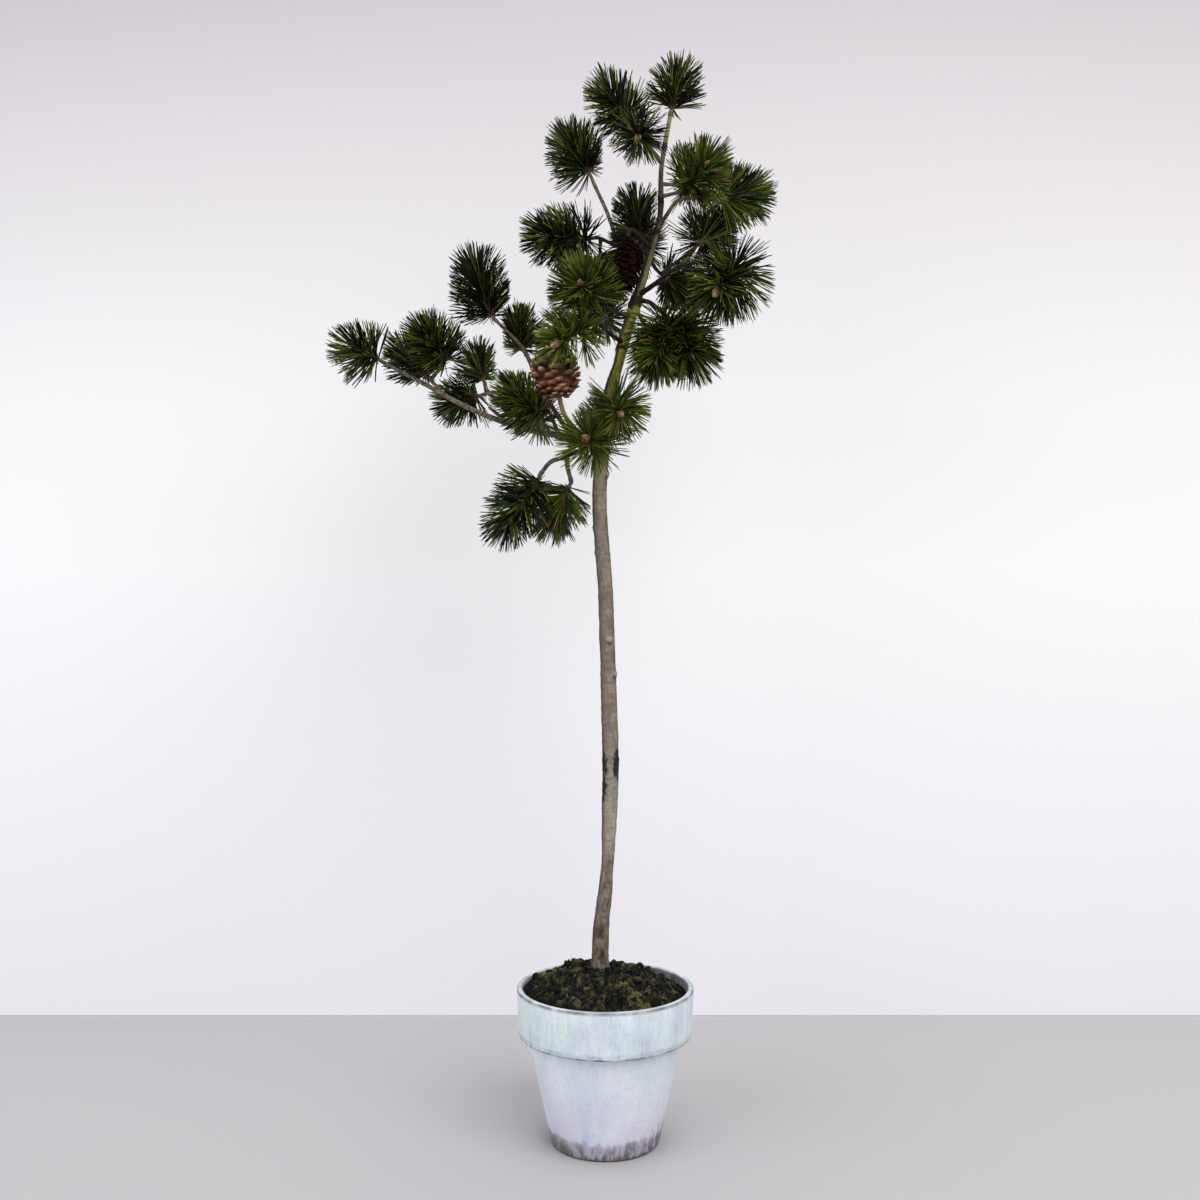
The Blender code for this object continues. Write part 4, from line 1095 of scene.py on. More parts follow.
# A knot is pale, with painted shadow below it.
knot_shadow = add_ramp(tree, add_attribute(tree, "below_knot"), [(0.2, 0.0), (0.6, 0.85)])
tone = add_mix(tree, knot_shadow.outputs["Color"], tone, (0.060, 0.047, 0.036))
middle = add_ramp(tree, add_attribute(tree, "knot"), [(0.42, 0.0), (0.62, 0.6)])
tone = add_mix(tree, middle.outputs["Color"], tone, (0.400, 0.365, 0.290))
connect(tree, (tone, shader.inputs["Base Color"]))
add_grain(tree, shader, 420, 0.7, (0.8, 0.8, 1))
piece_from_form("trunk_bark", form, old_bark, ["trunk"], 80)

# %% Boughs
twig_bark, tree, shader = new_material("twig_bark", 0.85, specular=0.15)
light_twig = add_mottle(tree, (0.105, 0.082, 0.055), (0.235, 0.195, 0.145), 180, (1, 1, 1), 3)
dark_marks = add_mottle(tree, (0, 0, 0), (1, 1, 1), 420, (1, 1, 1), 5)
dark_mask = add_ramp(tree, dark_marks.outputs["Mask"], [(0.55, 0.0), (0.9, 0.8)])
tone = add_mix(tree, dark_mask.outputs["Color"], light_twig.outputs["Colour"], (0.050, 0.036, 0.026))
# In the middle of the crown, where little light comes, the twigs are nearly black.
inwards = share_of_way(tree, -0.11, -0.01, "X")
inner_height = add_ramp(tree, share_of_way(tree, 0.6, 1.0), [(0.16, 0.0), (0.24, 0.94), (0.69, 0.94), (0.75, 0.15)])
shaded = times(tree, inwards, inner_height.outputs["Color"])
tone = add_mix(tree, shaded, tone, (0.016, 0.011, 0.008))
connect(tree, (tone, shader.inputs["Base Color"]))
add_grain(tree, shader, 700, 0.8)
form = bmesh.new()
for name in BOUGHS:
    barked(form, even_rows(limbs[name], 0.0016), 12, twig_relief, collar=0.45)
bmesh.ops.recalc_face_normals(form, faces=form.faces)
piece_from_form("bough_bark", form, twig_bark, list(BOUGHS), 80)

# %% Shoot stems
form = bmesh.new()
for _, _, stem, axis in shoots:
    whole = np.vstack([stem, axis[1:]])
    barked(form, even_rows(whole, 0.0018), 8, twig_relief, collar=0.3)
bmesh.ops.recalc_face_normals(form, faces=form.faces)
piece_from_form("shoot_stems", form, twig_bark, (), 80)

# %% [markdown]
# ## Needles
#
# This pine bears its needles in pairs, each pair from one papery brown sheath. A needle is a
# slim blunt spike, flatter than wide, with a slight bend. Four spikes with different bends are
# made from bmesh cones, and all the needles are copies of them. They spiral round a shoot by
# the golden angle, wide open at its base and drawn forward at its bud, and lie together in
# loose locks. A needle that would run into a limb or a cone is left out, and one that would
# pass its tuft's reach is shortened.

# %% The needle and the sheath
NEEDLE_RADIUS = 0.00062
NEEDLE_FLATNESS = 0.7
NEEDLE_RINGS = (0, 0.22, 0.60, 0.93, 1)
NEEDLE_GIRTHS = (0.75, 1.0, 1.0, 0.80, 0.25)
USUAL_NEEDLE = 0.036
NEEDLE_BENDS = (0.01, 0.06, 0.13, -0.04)


def needle_shape(bend):
    """A blunt spike of unit length along +Z, whose tip leans to +X by bend times its length."""
    form = bmesh.new()
    bmesh.ops.create_cone(form, cap_ends=True, segments=4, radius1=1, radius2=1, depth=1)
    bmesh.ops.translate(form, verts=form.verts, vec=(0, 0, 0.5))
    sides = [edge for edge in form.edges if abs(edge.verts[0].co.z - edge.verts[1].co.z) > 0.5]
    bmesh.ops.subdivide_edges(form, edges=sides, cuts=len(NEEDLE_RINGS) - 2)
    for vert in form.verts:
        ring = round(vert.co.z * (len(NEEDLE_RINGS) - 1))
        share, girth = NEEDLE_RINGS[ring], NEEDLE_GIRTHS[ring]
        lean = bend * USUAL_NEEDLE / NEEDLE_RADIUS * share**2
        vert.co = (vert.co.x * girth + lean, vert.co.y * girth * NEEDLE_FLATNESS, share)
    return arrays_of(form)


def sheath_shape():
    """A short tapering tube along +Z, of unit length and radius."""
    form = bmesh.new()
    bmesh.ops.create_cone(form, cap_ends=True, segments=5, radius1=1, radius2=0.75, depth=1)
    bmesh.ops.translate(form, verts=form.verts, vec=(0, 0, 0.5))
    return arrays_of(form)


needle_shapes = [needle_shape(bend) for bend in NEEDLE_BENDS]
print("triangles in a needle:", len(needle_shapes[0][1]))

# %% Room to grow
def dense(rows, step=0.002):
    """Rows no more than a step apart along a limb."""
    return even_rows(np.asarray(rows), step)


CONES = {
    "cone_open": ("bough_left", 22, (-43, -37, 710), (-50, -46, 750), 23.5),
    "cone_closed": ("trunk", 706, (22, -20, 864), (19, -24, 812), 13.5),
}
solids = [dense(rows) for rows in limbs.values()]
for _, _, base, apex, radius in CONES.values():
    base, apex = np.array(base) * MM, np.array(apex) * MM
    for level in np.linspace(0.04, 0.96, 12):
        swell = math.sqrt(1 - (2 * level - 1) ** 2)
        solids.append(np.array([[*(base + (apex - base) * level), radius * MM * swell]]))
solids = np.vstack(solids)


def clear_of_solids(roots, tips):
    """Which needles keep clear of every limb and cone, past the first fifth of their length."""
    free = np.ones(len(roots), bool)
    for share in (0.25, 0.4, 0.55, 0.7, 0.85, 1.0):
        places = roots + (tips - roots) * share
        gaps = np.linalg.norm(places[:, None, :] - solids[None, :, :3], axis=2) - solids[None, :, 3]
        free &= (gaps > 0.0006).all(axis=1)
    return free


# %% Spreading the pairs along a shoot
PAIRS_A_SHOOT = 290
THIN_TUFTS = {
    # the share of those pairs that a sparser tuft bears
    "needles_top": 0.55,
    "needles_top_left": 0.44,
    "needles_high_middle": 0.70,
    "needles_left_end": 0.58,
    "needles_left_rising_fork": 0.70,
    "needles_left_outer": 0.55,
    "needles_low_right": 0.55,
    "needles_low_left": 0.55,
    "needles_hanging_fork": 0.70,
    "needles_left_fork": 0.80,
    "needles_back_low": 0.70,
    "needles_back_left": 0.70,
    "needles_back_middle": 0.70,
    "needles_back_right": 0.70,
    "needles_back_centre": 0.80,
    "needles_back_high": 0.70,
}
OPENING_AT_BASE = math.radians(76)
OPENING_AT_BUD = math.radians(30)
OPENING_SPREAD = math.radians(13)
PAIR_SPLIT = math.radians(3)
PAIRS_A_LOCK = 5
LOCK_PULL = 0.35  # how far each pair is drawn towards the middle of its lock
SHORTENING = 0.12
BARE_SIDES = {
    # towards, the cosine within which needles are few, and the share that is left: the low
    # front tuft shows the open cone below it
    "needles_front_low": ((-0.10, -0.45, -0.89), 0.70, 0.28),
}
SHEATH_LENGTH = 0.0038
SHEATH_RADIUS = 0.00085


def spread_pairs(name, shoot, axis, number):
    """Roots and directions of a shoot's pairs of needles, and the length of each."""
    rule = np.random.default_rng([number, 7])
    pairs = round(PAIRS_A_SHOOT * THIN_TUFTS.get(name, 1))
    low, high = axis[0][:3], axis[-1][:3]
    heading = Vector(high - low).normalized()
    side = heading.orthogonal().normalized()
    across = heading.cross(side)
    share = (np.arange(pairs) + rule.uniform(0.1, 0.9, pairs)) / pairs
    turn = rule.uniform(0, math.tau) + GOLDEN_ANGLE * np.arange(pairs)
    turn += rule.uniform(-0.25, 0.25, pairs)
    opening = OPENING_AT_BASE + (OPENING_AT_BUD - OPENING_AT_BASE) * share
    opening += rule.normal(0, 1, pairs) * OPENING_SPREAD
    around = np.cos(turn)[:, None] * np.array(side) + np.sin(turn)[:, None] * np.array(across)
    lean = np.cos(opening)[:, None] * np.array(heading) + np.sin(opening)[:, None] * around
    locks = lean[::PAIRS_A_LOCK]
    lean += LOCK_PULL * (locks[np.argmax(lean @ locks.T, axis=1)] - lean)
    lean /= np.linalg.norm(lean, axis=1, keepdims=True)
    reach = np.linalg.norm(np.diff(axis[:, :3], axis=0), axis=1)
    reach = np.concatenate([[0], np.cumsum(reach)])
    stops = share * reach[-1]
    roots = np.stack([np.interp(stops, reach, column) for column in axis[:, :3].T], axis=1)
    roots += around * STEM_RADIUS * 0.7
    length = shoot.needle * MM * rule.uniform(0.86, 1.05, pairs) * (1 - SHORTENING * share)
    if name in BARE_SIDES:
        towards, close, left = BARE_SIDES[name]
        stay = (lean @ towards < close) | (rule.random(pairs) < left)
        roots, lean, length, around = (column[stay] for column in (roots, lean, length, around))
    return roots, lean, length, around, np.array(heading), rule


def shortened(roots, directions, lengths, box):
    """Lengths cut so that no needle passes its tuft's reach."""
    low, high = (np.array(corner) for corner in box)
    with np.errstate(divide="ignore", invalid="ignore"):
        room = np.where(directions > 0, (high - roots) / directions, (low - roots) / directions)
    return np.minimum(lengths, np.nanmin(np.where(room > 0, room, np.inf), axis=1))


# %% Growing every tuft
# The tones are partly the needles' own greens and partly painted light: the deep tone stands for needles in shade, the
# fresh and the pale ones for sunlit needles and their highlights.
TONES = {
    "deep": (0.0078, 0.0100, 0.0028),
    "green": (0.0440, 0.0630, 0.0105),
    "fresh_sunlit": (0.1250, 0.1600, 0.0190),
    "pale": (0.2700, 0.2900, 0.0700),
    "bluish": (0.0420, 0.0640, 0.0350),
    "straw": (0.1700, 0.0880, 0.0300),
}
TUFT_LOOKS = {
    # how lit a tuft is painted, from 0 to 1.5, and its shares of bluish and of straw needles
    "needles_top": (0.30, 0.02, 0.01),
    "needles_top_left": (0.30, 0.08, 0.01),
    "needles_right_high": (1.15, 0.00, 0.02),
    "needles_right_far": (0.75, 0.10, 0.00),
    "needles_high_middle": (0.22, 0.02, 0.00),
    "needles_middle_left": (0.28, 0.02, 0.00),
    "needles_front_high": (1.00, 0.00, 0.00),
    "needles_front_low": (1.30, 0.00, 0.01),
    "needles_left_rising": (0.00, 0.00, 0.00),
    "needles_left_rising_fork": (0.32, 0.04, 0.01),
    "needles_left_inner": (0.86, 0.00, 0.01),
    "needles_left_outer": (0.38, 0.24, 0.01),
    "needles_left_fork": (0.38, 0.04, 0.01),
    "needles_left_end": (0.40, 0.16, 0.01),
    "needles_hanging": (0.36, 0.22, 0.015),
    "needles_hanging_fork": (1.20, 0.20, 0.03),
    "needles_low_right": (1.30, 0.10, 0.01),
    "needles_low_left": (1.45, 0.04, 0.01),
    "needles_right": (0.50, 0.00, 0.02),
    "needles_right_back": (0.28, 0.02, 0.00),
    "needles_right_low": (1.00, 0.00, 0.01),
    "needles_back_low": (1.00, 0.00, 0.01),
    "needles_back_centre": (0.00, 0.00, 0.00),
}
USUAL_LOOK = (0.50, 0.02, 0.01)


def tone_chances(look):
    """The shares of deep, green, fresh, pale, bluish and straw needles in a tuft of this look, where its light shifts
    needles from painted shade to painted sunlight.
    """
    light, bluish, straw = look
    deep, green, fresh_sunlit = max(0.04, 0.82 - 0.64 * light), 0.15 + 0.28 * light, 0.03 + 0.36 * light
    chances = np.array([deep, green, fresh_sunlit, max(0, 0.3 * (light - 1)), bluish, straw])
    return chances / chances.sum()


needle_sets = {tone: [] for tone in TONES}
sheath_sets = []
sheath = sheath_shape()
grown = 0
for number, (name, shoot, stem, axis) in enumerate(shoots):
    roots, lean, length, around, heading, rule = spread_pairs(name, shoot, axis, number)
    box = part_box(name)
    tone_of = rule.choice(len(TONES), len(roots), p=tone_chances(TUFT_LOOKS.get(name, USUAL_LOOK)))
    sizes = np.stack([np.full(len(roots), SHEATH_RADIUS)] * 2 + [np.full(len(roots), SHEATH_LENGTH)], 1)
    sheath_sets.append(copies(sheath, turns_along(lean, np.zeros(len(roots)), sizes), roots))
    split = np.cross(lean, around + rule.normal(0, 0.5, around.shape))
    split /= np.linalg.norm(split, axis=1, keepdims=True)
    for half in (-1, 1):
        direction = lean + split * half * math.tan(PAIR_SPLIT) * rule.uniform(0.5, 1.8, (len(roots), 1))
        direction /= np.linalg.norm(direction, axis=1, keepdims=True)
        long = shortened(roots, direction, length * rule.uniform(0.94, 1.0, len(roots)), box)
        keep = clear_of_solids(roots, roots + direction * long[:, None]) & (long > 0.5 * length)
        bend_of = rule.integers(len(needle_shapes), size=len(roots))
        spin = rule.normal(0, 0.9, len(roots))
        for t, tone in enumerate(TONES):
            for b, shape in enumerate(needle_shapes):
                mine = keep & (tone_of == t) & (bend_of == b)
                if mine.any():
                    wide = np.full(mine.sum(), NEEDLE_RADIUS)
                    sizes = np.stack([wide, wide, long[mine]], axis=1)
                    turns = turns_along(direction[mine], spin[mine], sizes, heading[None, :])
                    needle_sets[tone].append(copies(shape, turns, roots[mine]))
        grown += keep.sum()
print("needles grown:", grown)

# %% Needle finish
MOST_NEEDLES = 5000
for tone, colour in TONES.items():
    made, tree, shader = new_material(f"needle_{tone}", 0.55, specular=0.08)
    shader.inputs["Base Color"].default_value = (*colour, 1)
    add_grain(tree, shader, 1500, 0.1)
    triangles = sum(len(faces) for _, faces in needle_sets[tone])
    parts = math.ceil(triangles / (MOST_NEEDLES * len(needle_shapes[0][1])))
    for part in range(parts):
        replaced = list(MASSES) if tone == "deep" and part == 0 else ()
        mine = needle_sets[tone][part::parts]
        piece_from_copies(f"needles_{tone}_{part + 1}", mine, made, replaced, 80)
papery, tree, shader = new_material("papery_sheath", 0.7)
shader.inputs["Base Color"].default_value = (0.105, 0.060, 0.030, 1)
add_grain(tree, shader, 1500, 0.3)
piece_from_copies("needle_sheaths", sheath_sets, papery, (), 60)

# %% [markdown]
# ## Buds
#
# Each shoot ends in a resting bud, pale orange brown, wrapped in small scales. An icosphere
# drawn out to a point gives its body, and its scales are a ripple that winds round it.

# %% Buds on the shoots
BUD_LENGTH = 0.0125
BUD_RADIUS = 0.0034
LARGE_BUDS = {
    "needles_right": 1.5,
    "needles_front_low": 1.45,
    "needles_middle_left": 1.45,
    "needles_low_right": 1.25,
    "needles_low_left": 1.4,
    "needles_front_high": 1.2,
    "needles_top_left": 1.15,
}
form = bmesh.new()
bmesh.ops.create_uvsphere(form, u_segments=18, v_segments=16, radius=1)
for vert in form.verts:
    share = (vert.co.z + 1) / 2
    turn = math.atan2(vert.co.y, vert.co.x)
    ripple = 1 + 0.10 * math.sin(5 * turn + share * 34) * math.sin(math.pi * share)
    body = math.sin(math.pi * min(1, share * 0.96 + 0.04)) ** 0.75 * (1 - 0.35 * share)
    vert.co = Vector((math.cos(turn) * body * ripple, math.sin(turn) * body * ripple, share))
bud = arrays_of(form)
headings = np.array([axis[-1][:3] - axis[-2][:3] for _, _, _, axis in shoots])
headings /= np.linalg.norm(headings, axis=1, keepdims=True)
ends = np.array([axis[-1][:3] for _, _, _, axis in shoots]) - headings * 0.002
larger = np.array([LARGE_BUDS.get(name, 1.0) for name, _, _, _ in shoots])
bud_sizes = np.stack([larger * BUD_RADIUS, larger * BUD_RADIUS, larger * BUD_LENGTH], axis=1)
bud_finish, tree, shader = new_material("bud_scales", 0.55)
tone = add_mottle(tree, (0.30, 0.135, 0.060), (0.62, 0.40, 0.27), 450, (1, 1, 1), 3)
connect(tree, (tone.outputs["Colour"], shader.inputs["Base Color"]))
add_grain(tree, shader, 900, 0.4)
bud_turns = turns_along(headings, np.arange(len(shoots)) * 1.0, bud_sizes)
piece_from_copies("buds", [copies(bud, bud_turns, ends)], bud_finish, (), 80)

# %% [markdown]
# ## Cones
#
# The open cone's woody scales stand off its core and thicken to a blunt shield at the tip. One
# scale is a cube, subdivided and shaped, and the cone is a spiral of scales that get smaller
# and less open towards its apex. The closed cone has the same spiral with its scales shut.
# Each point keeps its share of the way to its scale's tip, so that the tips can be pale and the gaps dark with painted
# shade.

# %% One scale
def scale_shape(thin, thick, curl):
    """A scale along +Z, as wide as 1, with a shield at its end and a curl towards +Y."""
    form = bmesh.new()
    bmesh.ops.create_cube(form, size=1)
    bmesh.ops.subdivide_edges(form, edges=form.edges, cuts=4, use_grid_fill=True)
    for vert in form.verts:
        share = vert.co.z + 0.5
        boss = 0.14 * max(0, 1 - 1.5 * abs(vert.co.x) - 1.5 * abs(vert.co.y)) * (share > 0.99)
        width = 0.55 + 0.75 * share**0.8 - 0.45 * max(0, share - 0.7) / 0.3
        shield = math.exp(-((share - 0.86) / 0.12) ** 2)
        depth = thin + (thick - thin) * shield
        rounding = 1 - 0.35 * (2 * vert.co.x) ** 2
        vert.co.x *= width
        vert.co.y = vert.co.y * depth * rounding + curl * share**2
        vert.co.z = share + boss - 0.16 * (2 * vert.co.x) ** 2 * share
    bmesh.ops.recalc_face_normals(form, faces=form.faces)
    return arrays_of(form)


# %% Spiralling the scales
def cone_scales(name, scales, open_low, open_high, scale_length, scale_width, shape):
    """The copies of one scale that make a cone, and the rows of its stalk and core."""
    parent, start, base, apex, radius = CONES[name]
    base, apex, radius = Vector(base) * MM, Vector(apex) * MM, radius * MM
    length = apex - base
    axis = length.normalized()
    side = axis.orthogonal().normalized()
    chance = random.Random(name)
    turns, places = [], []
    for number in range(scales):
        level = (number + 0.5) / scales
        swell = math.sqrt(1 - (2 * min(0.97, 0.05 + 0.92 * level) - 1) ** 2)
        out = Matrix.Rotation(number * GOLDEN_ANGLE + chance.uniform(-0.2, 0.2), 3, axis) @ side
        opening = math.radians(open_low + (open_high - open_low) * level + chance.uniform(-13, 13))
        ahead = out * math.sin(opening) + axis * math.cos(opening)
        long = scale_length * (0.45 + 0.55 * swell) * chance.uniform(0.76, 1.06)
        root = base + length * (0.03 + 0.88 * level) + out * max(0, radius * swell - long * math.sin(opening))
        across = ahead.cross(axis).normalized()
        up = across.cross(ahead)
        wide = scale_width * (0.5 + 0.5 * swell) * chance.uniform(0.78, 1.15)
        turns.append(np.array(Matrix((across * wide, up * wide, ahead * long)).transposed()))
        places.append(np.array(root))
    foot = point_along(limbs[parent], start * MM)
    stalk = curve_rows(
        [row(foot, 0.0024), row(base - axis * 0.006, 0.0022), row(base + length * 0.1, 0.0024)], [6, 3]
    )
    core = [row(base + length * share, radius * 0.74 * math.sin(math.pi * (0.12 + 0.8 * share))) for share in np.linspace(0, 1, 8)]
    return copies(shape, np.array(turns), np.array(places)), stalk, np.array(core)


# %% The two cones
open_scale = scale_shape(0.20, 0.52, 0.20)
shut_scale = scale_shape(0.16, 0.42, 0.16)
cone_parts = {
    "cone_open": cone_scales("cone_open", 104, 112, 26, 0.0125, 0.0086, open_scale),
    "cone_closed": cone_scales("cone_closed", 92, 70, 18, 0.0085, 0.0075, shut_scale),
}
pale_scales, tree, shader = new_material("pale_cone_scales", 0.75, specular=0.2)
# Towards the scales' roots the colour goes near black: painted shade in the gaps.
tips = add_ramp(tree, add_attribute(tree, "tipness"), [
    (0.0, (0.012, 0.005, 0.003)),
    (0.50, (0.040, 0.014, 0.007)),
    (0.70, (0.210, 0.055, 0.022)),
    (0.84, (0.520, 0.235, 0.125)),
    (1.0, (0.920, 0.700, 0.500)),
])
patchy = add_mottle(tree, tips.outputs["Color"], (0.250, 0.110, 0.060), 190, (1, 1, 1), 2)
# Its upper half is olive in the green shade of the tuft above it.
olive_tips = add_ramp(tree, add_attribute(tree, "tipness"), [
    (0.0, (0.008, 0.008, 0.003)),
    (0.70, (0.045, 0.034, 0.009)),
    (0.86, (0.190, 0.150, 0.036)),
    (1.0, (0.700, 0.650, 0.300)),
])
upper = add_ramp(tree, share_of_way(tree, 0.722, 0.746), [(0.0, 0.0), (1.0, 0.88)])
tone = add_mix(tree, upper.outputs["Color"], patchy.outputs["Colour"], olive_tips.outputs["Color"])
connect(tree, (tone, shader.inputs["Base Color"]))
add_grain(tree, shader, 900, 0.6)
# The closed cone's own dark purple brown is painted near black, as the shade of the crown around it.
dark_scales, tree, shader = new_material("dark_cone_scales", 0.85, specular=0.04)
tips = add_ramp(tree, add_attribute(tree, "tipness"), [
    (0.0, (0.002, 0.001, 0.001)),
    (0.70, (0.003, 0.002, 0.001)),
    (1.0, (0.008, 0.004, 0.003)),
])
tone = add_mottle(tree, tips.outputs["Color"], (0.014, 0.004, 0.002), 120, (1, 1, 1), 6)
connect(tree, (tone.outputs["Colour"], shader.inputs["Base Color"]))
add_grain(tree, shader, 900, 0.6)
green_stalk, tree, shader = new_material("green_stalk", 0.7, specular=0.2)
tone = add_mottle(tree, (0.16, 0.14, 0.030), (0.36, 0.32, 0.10), 300, (1, 1, 1), 3)
connect(tree, (tone.outputs["Colour"], shader.inputs["Base Color"]))
add_grain(tree, shader, 900, 0.3)
cone_finishes = {
    "cone_open": (pale_scales, open_scale, green_stalk),
    "cone_closed": (dark_scales, shut_scale, twig_bark),
}
for name, (finish, shape, stalk_finish) in cone_finishes.items():
    scales, stalk, core = cone_parts[name]
    made = piece_from_copies(name + "_scales", [scales], finish, [name], 45)
    heights = shape[0][:, 2]
    count = len(scales[0]) // len(heights)
    paleness = np.random.default_rng(count).uniform(0.78, 1.0, count)
    mark_points(made, "tipness", (paleness[:, None] * heights / heights.max()).ravel())
    form = bmesh.new()
    barked(form, core, 16, twig_relief)
    bmesh.ops.recalc_face_normals(form, faces=form.faces)
    piece_from_form(name + "_core", form, finish, (), 80)
    form = bmesh.new()
    barked(form, even_rows(stalk, 0.002), 10, twig_relief)
    bmesh.ops.recalc_face_normals(form, faces=form.faces)
    piece_from_form(name + "_stalk", form, stalk_finish, (), 80)

# %% [markdown]
# ## Soil and moss
#
# The pot is filled to a low mound of dark soil, fuller at the back left, with clods and
# patches of moss in olive and yellow green. The mound is an outline spun and then raised by
# noise: where a noise crosses zero its size has a sharp valley, which makes dark cracks
# between lumps. Clods are crumpled icospheres, and moss is thousands of tiny leaves stood up
# in patches, again as copies of one shape. Tops are mossier than sides, so each point keeps
# how high it stands in its lump.

# %% The mound
SOIL_TOP = 0.1607
SOIL_EDGE = 0.1395
SEAT_RADIUS = 0.014
MOUND_POWER = 2.0
MOUND_HIGH_SIDE = math.radians(150)
MOUND_LEAN = 0.8
EDGE_LEAN = 0.0062
LUMPS = 34
LUMP_HEIGHT = 0.0055
rise = (SOIL_EDGE - INNER_RIM_FOOT[1]) / (POT_HEIGHT - INNER_RIM_FOOT[1])
edge_radius = INNER_RIM_FOOT[0] + (INNER_LIP[0] - INNER_RIM_FOOT[0]) * rise - 0.0003
lump_rule = random.Random("soil")
soil_lumps = []
for _ in range(LUMPS):
    turn, out = lump_rule.uniform(0, math.tau), math.sqrt(lump_rule.uniform(0.12, 0.8)) * edge_radius
    place = Vector((math.cos(turn), math.sin(turn))) * out
    soil_lumps.append((place, lump_rule.uniform(0.009, 0.016), lump_rule.uniform(0.4, 1.0) * LUMP_HEIGHT))


RELIEF = 0.0068
TRUNK_PLACE = Vector(TRUNK[0][:2]) * MM
SOIL_HOLLOWS = ((55, -4, 10), (70, 8, 7), (-22, 2, 8), (8, -58, 9))  # right, away and radius in mm
MOSS_CUSHIONS = (
    (27, -4, 21), (60, 20, 15), (30, -34, 20), (-52, 26, 17), (-44, -30, 18), (-20, 30, 12), (2, -30, 12)
)


@functools.cache
def clump_at(x, y):
    """How far a place lies inside its clump, from 0 in a crease, and a number of the clump's own."""
    bent = Vector((x, y, 0)) * 88 + noise.noise_vector(Vector((x, y, 0.3)) * 170) * 0.6
    gaps, corners = noise.voronoi(bent)
    return min(1, 2.4 * (gaps[1] - gaps[0])), 0.5 + 0.5 * noise.noise(corners[0] * 3.1)


def within(x, y, places):
    """How deep inside the nearest of some round places this one is, from 0 to 1."""
    return max(max(0, 1 - math.hypot(x - right * MM, y - off * MM) / (size * MM)) for right, off, size in places)


@functools.cache
def soil_relief(x, y):
    """Clumps and crumbs with creases between them, from 0 deep in a crease to about 1."""
    inside, own = clump_at(x, y)
    gaps, _ = noise.voronoi(Vector((x, y, 0.2)) * 260)
    crumb = min(1, 2.0 * (gaps[1] - gaps[0]))
    fine = noise.noise(Vector((x, y, 0.7)) * 700)
    return math.sqrt(inside) * (0.35 + 0.6 * own) + 0.22 * crumb + 0.10 * fine


def soil_height(x, y):
    """The height of the mound at a place, lumps included."""
    out = math.hypot(x, y)
    share = min(1, max(0, (out - SEAT_RADIUS) / (edge_radius - SEAT_RADIUS)))
    side = math.cos(math.atan2(y, x) - MOUND_HIGH_SIDE)
    edge = SOIL_EDGE + EDGE_LEAN * (1 + side) / 2
    height = SOIL_TOP + (edge - SOIL_TOP) * share ** (MOUND_POWER + MOUND_LEAN * side)
    inside = min(1, (1 - share) / 0.08) * min(1, share / 0.08)
    for place, width, lump in soil_lumps:
        near = max(0, 1 - ((x - place.x) ** 2 + (y - place.y) ** 2) / width**2)
        height += lump * near**2 * inside
    beside = math.hypot(x - TRUNK_PLACE.x, y - TRUNK_PLACE.y)
    rough_heap = 0.0042 + 0.0030 * noise.noise(Vector((x, y, 0.9)) * 190)
    heaped = rough_heap * math.exp(-((beside - 0.0135) / 0.0045) ** 2)
    heaped -= 0.0045 * min(1, 2 * within(x, y, SOIL_HOLLOWS))
    free = min(1, (1 - share) / 0.06) * min(1, max(0, (beside - 0.010) / 0.006))
    return height + heaped + RELIEF * (soil_relief(x, y) - 0.75) * free


def moss_and_wall_shade(x, y):
    """How mossy the soil is here: less in creases and on bare clumps, and bare and dark by the pot's wall as painted
    shade.
    """
    _, own = clump_at(x, y)
    # Within 9 mm of the pot's wall the soil is kept bare and dark: painted shade.
    out_of_wall_shade = min(1, max(0, (edge_radius - math.hypot(x, y)) / 0.009))
    bare = 1 - min(1, 3 * within(x, y, SOIL_HOLLOWS))
    cushion = min(1, 2 * within(x, y, MOSS_CUSHIONS))
    usual = min(0.70, soil_relief(x, y) * (0.45 + 0.9 * own))
    return (usual + cushion * (soil_relief(x, y) - usual)) * out_of_wall_shade * bare


rings = 100
soil_outline = [(0, SOIL_TOP)]
soil_outline += [(edge_radius * k / rings, SOIL_TOP) for k in range(1, rings + 1)]
soil_outline += [(edge_radius - 0.002, SOIL_EDGE - 0.012), (0, SOIL_EDGE - 0.012)]
form = spun(soil_outline, 260)
topness = form.verts.layers.float.new("topness")
for vert in form.verts:
    if vert.co.z > SOIL_EDGE:
        vert.co.z = soil_height(vert.co.x, vert.co.y)
        vert[topness] = moss_and_wall_shade(vert.co.x, vert.co.y)
bmesh.ops.recalc_face_normals(form, faces=form.faces)
dark_soil, tree, shader = new_material("dark_soil", 0.95, specular=0.08)
bare = add_mottle(tree, (0.0025, 0.0025, 0.0022), (0.018, 0.016, 0.013), 240, (1, 1, 1), 4)
moss = add_mottle(tree, (0.026, 0.031, 0.018), (0.135, 0.140, 0.075), 200, (1, 1, 1), 5)
yellowing = add_ramp(tree, add_attribute(tree, "topness"), [(0.58, 0.0), (0.90, 0.85)])
moss_tone = add_mix(tree, yellowing.outputs["Color"], moss.outputs["Colour"], (0.300, 0.285, 0.062))
moss_where = add_mottle(tree, (0.12, 0.12, 0.12), (1, 1, 1), 46, (1, 1, 1), 6)
on_top = add_ramp(tree, add_attribute(tree, "topness"), [(0.40, 0.0), (0.95, 0.95)])
moss_mask = times(tree, moss_where.outputs["Colour"], on_top.outputs["Color"])
tone = add_mix(tree, moss_mask, bare.outputs["Colour"], moss_tone)
connect(tree, (tone, shader.inputs["Base Color"]))
add_grain(tree, shader, 900, 1.0)
piece_from_form("soil_mound", form, dark_soil, ["soil"], 80)


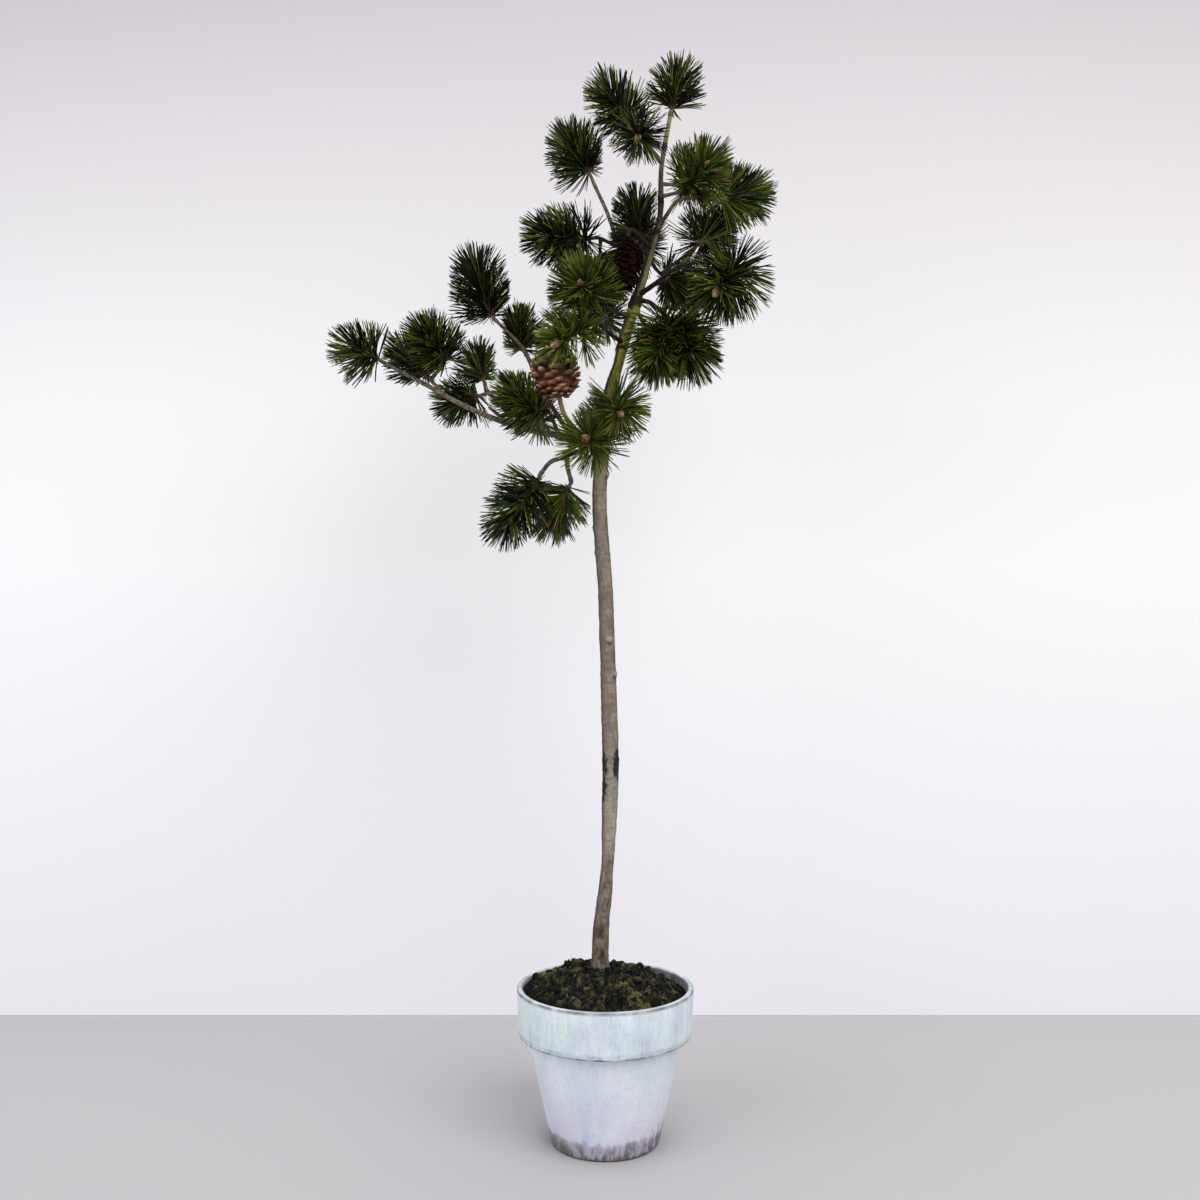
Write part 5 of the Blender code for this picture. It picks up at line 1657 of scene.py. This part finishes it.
# %% Clods and moss
def soil_spots(count, seed, patchy, least=0.2):
    """Places on the mound, kept off the trunk, and if asked only where it is at least so mossy."""
    rule = np.random.default_rng(seed)
    spots = []
    while len(spots) < count:
        turn, out = rule.uniform(0, math.tau), edge_radius * math.sqrt(rule.uniform(0.0, 0.965))
        x, y = out * math.cos(turn), out * math.sin(turn)
        if math.hypot(x - TRUNK[0][0] * MM, y - TRUNK[0][1] * MM) < 0.0115:
            continue
        if patchy and moss_and_wall_shade(x, y) < rule.uniform(least, 1.0):
            continue
        spots.append((x, y, soil_height(x, y)))
    return np.array(spots), rule


form = bmesh.new()
bmesh.ops.create_icosphere(form, subdivisions=2, radius=1)
for vert in form.verts:
    vert.co *= 1 + 0.75 * noise.noise(vert.co * 2.1) + 0.40 * noise.noise(vert.co * 4.5)
clod = arrays_of(form)
spots, rule = soil_spots(300, 3, False)
foot_turns = rule.uniform(0, math.tau, 34)
foot_reach = rule.uniform(0.0108, 0.0165, 34)
beside_trunk = np.stack([TRUNK_PLACE.x + foot_reach * np.cos(foot_turns), TRUNK_PLACE.y + foot_reach * np.sin(foot_turns)], 1)
beside_trunk = np.array([(x, y, soil_height(x, y)) for x, y in beside_trunk])
spots = np.vstack([spots, beside_trunk])
spots[:, 2] -= 0.0006
clod_sizes = (0.0006 + 0.0042 * rule.power(0.35, (len(spots), 1))) * rule.uniform(0.5, 1.4, (len(spots), 3))
clod_turns = turns_along(rule.normal(0, 1, (len(spots), 3)), rule.uniform(0, 6, len(spots)), clod_sizes)
clod_points, clod_faces = copies(clod, clod_turns, spots)
clods = piece_from_copies("clods", [(clod_points, clod_faces)], dark_soil, (), 60)
above = clod_points[:, 2] - np.repeat(spots[:, 2], len(clod[0]))
sizes = np.repeat(clod_sizes.mean(axis=1), len(clod[0]))
shade = [(0.3 + 0.8 * moss_and_wall_shade(x, y)) * rule.uniform(0.6, 1.1) for x, y, _ in spots]
mark_points(clods, "topness", np.clip(0.45 + 0.5 * above / sizes, 0, 1) * np.repeat(shade, len(clod[0])))

form = bmesh.new()
bmesh.ops.create_cone(form, cap_ends=True, segments=3, radius1=1, radius2=0.1, depth=1)
bmesh.ops.translate(form, verts=form.verts, vec=(0, 0, 0.5))
moss_leaf = arrays_of(form)
MOSS_TONES = {
    "moss_dark": ((0.022, 0.028, 0.013), 2000, 11, 0.20),
    "moss_olive": ((0.075, 0.080, 0.027), 2400, 12, 0.35),
    "moss_bright": ((0.260, 0.245, 0.055), 900, 14, 0.55),
}
for name, (colour, count, seed, least) in MOSS_TONES.items():
    made, tree, shader = new_material(name, 0.85)
    shader.inputs["Base Color"].default_value = (*colour, 1)
    add_grain(tree, shader, 1500, 0.2)
    spots, rule = soil_spots(count, seed, True, least)
    lean = rule.normal(0, 0.55, (count, 3)) + np.array([0, 0, 1.0])
    wide = rule.uniform(0.00025, 0.00045, count)
    sizes = np.stack([wide, wide, rule.uniform(0.0007, 0.0016, count)], 1)
    turns = turns_along(lean, rule.uniform(0, 6, count), sizes)
    spots[:, 2] -= 0.0003
    piece_from_copies(name, [copies(moss_leaf, turns, spots)], made, (), 60)
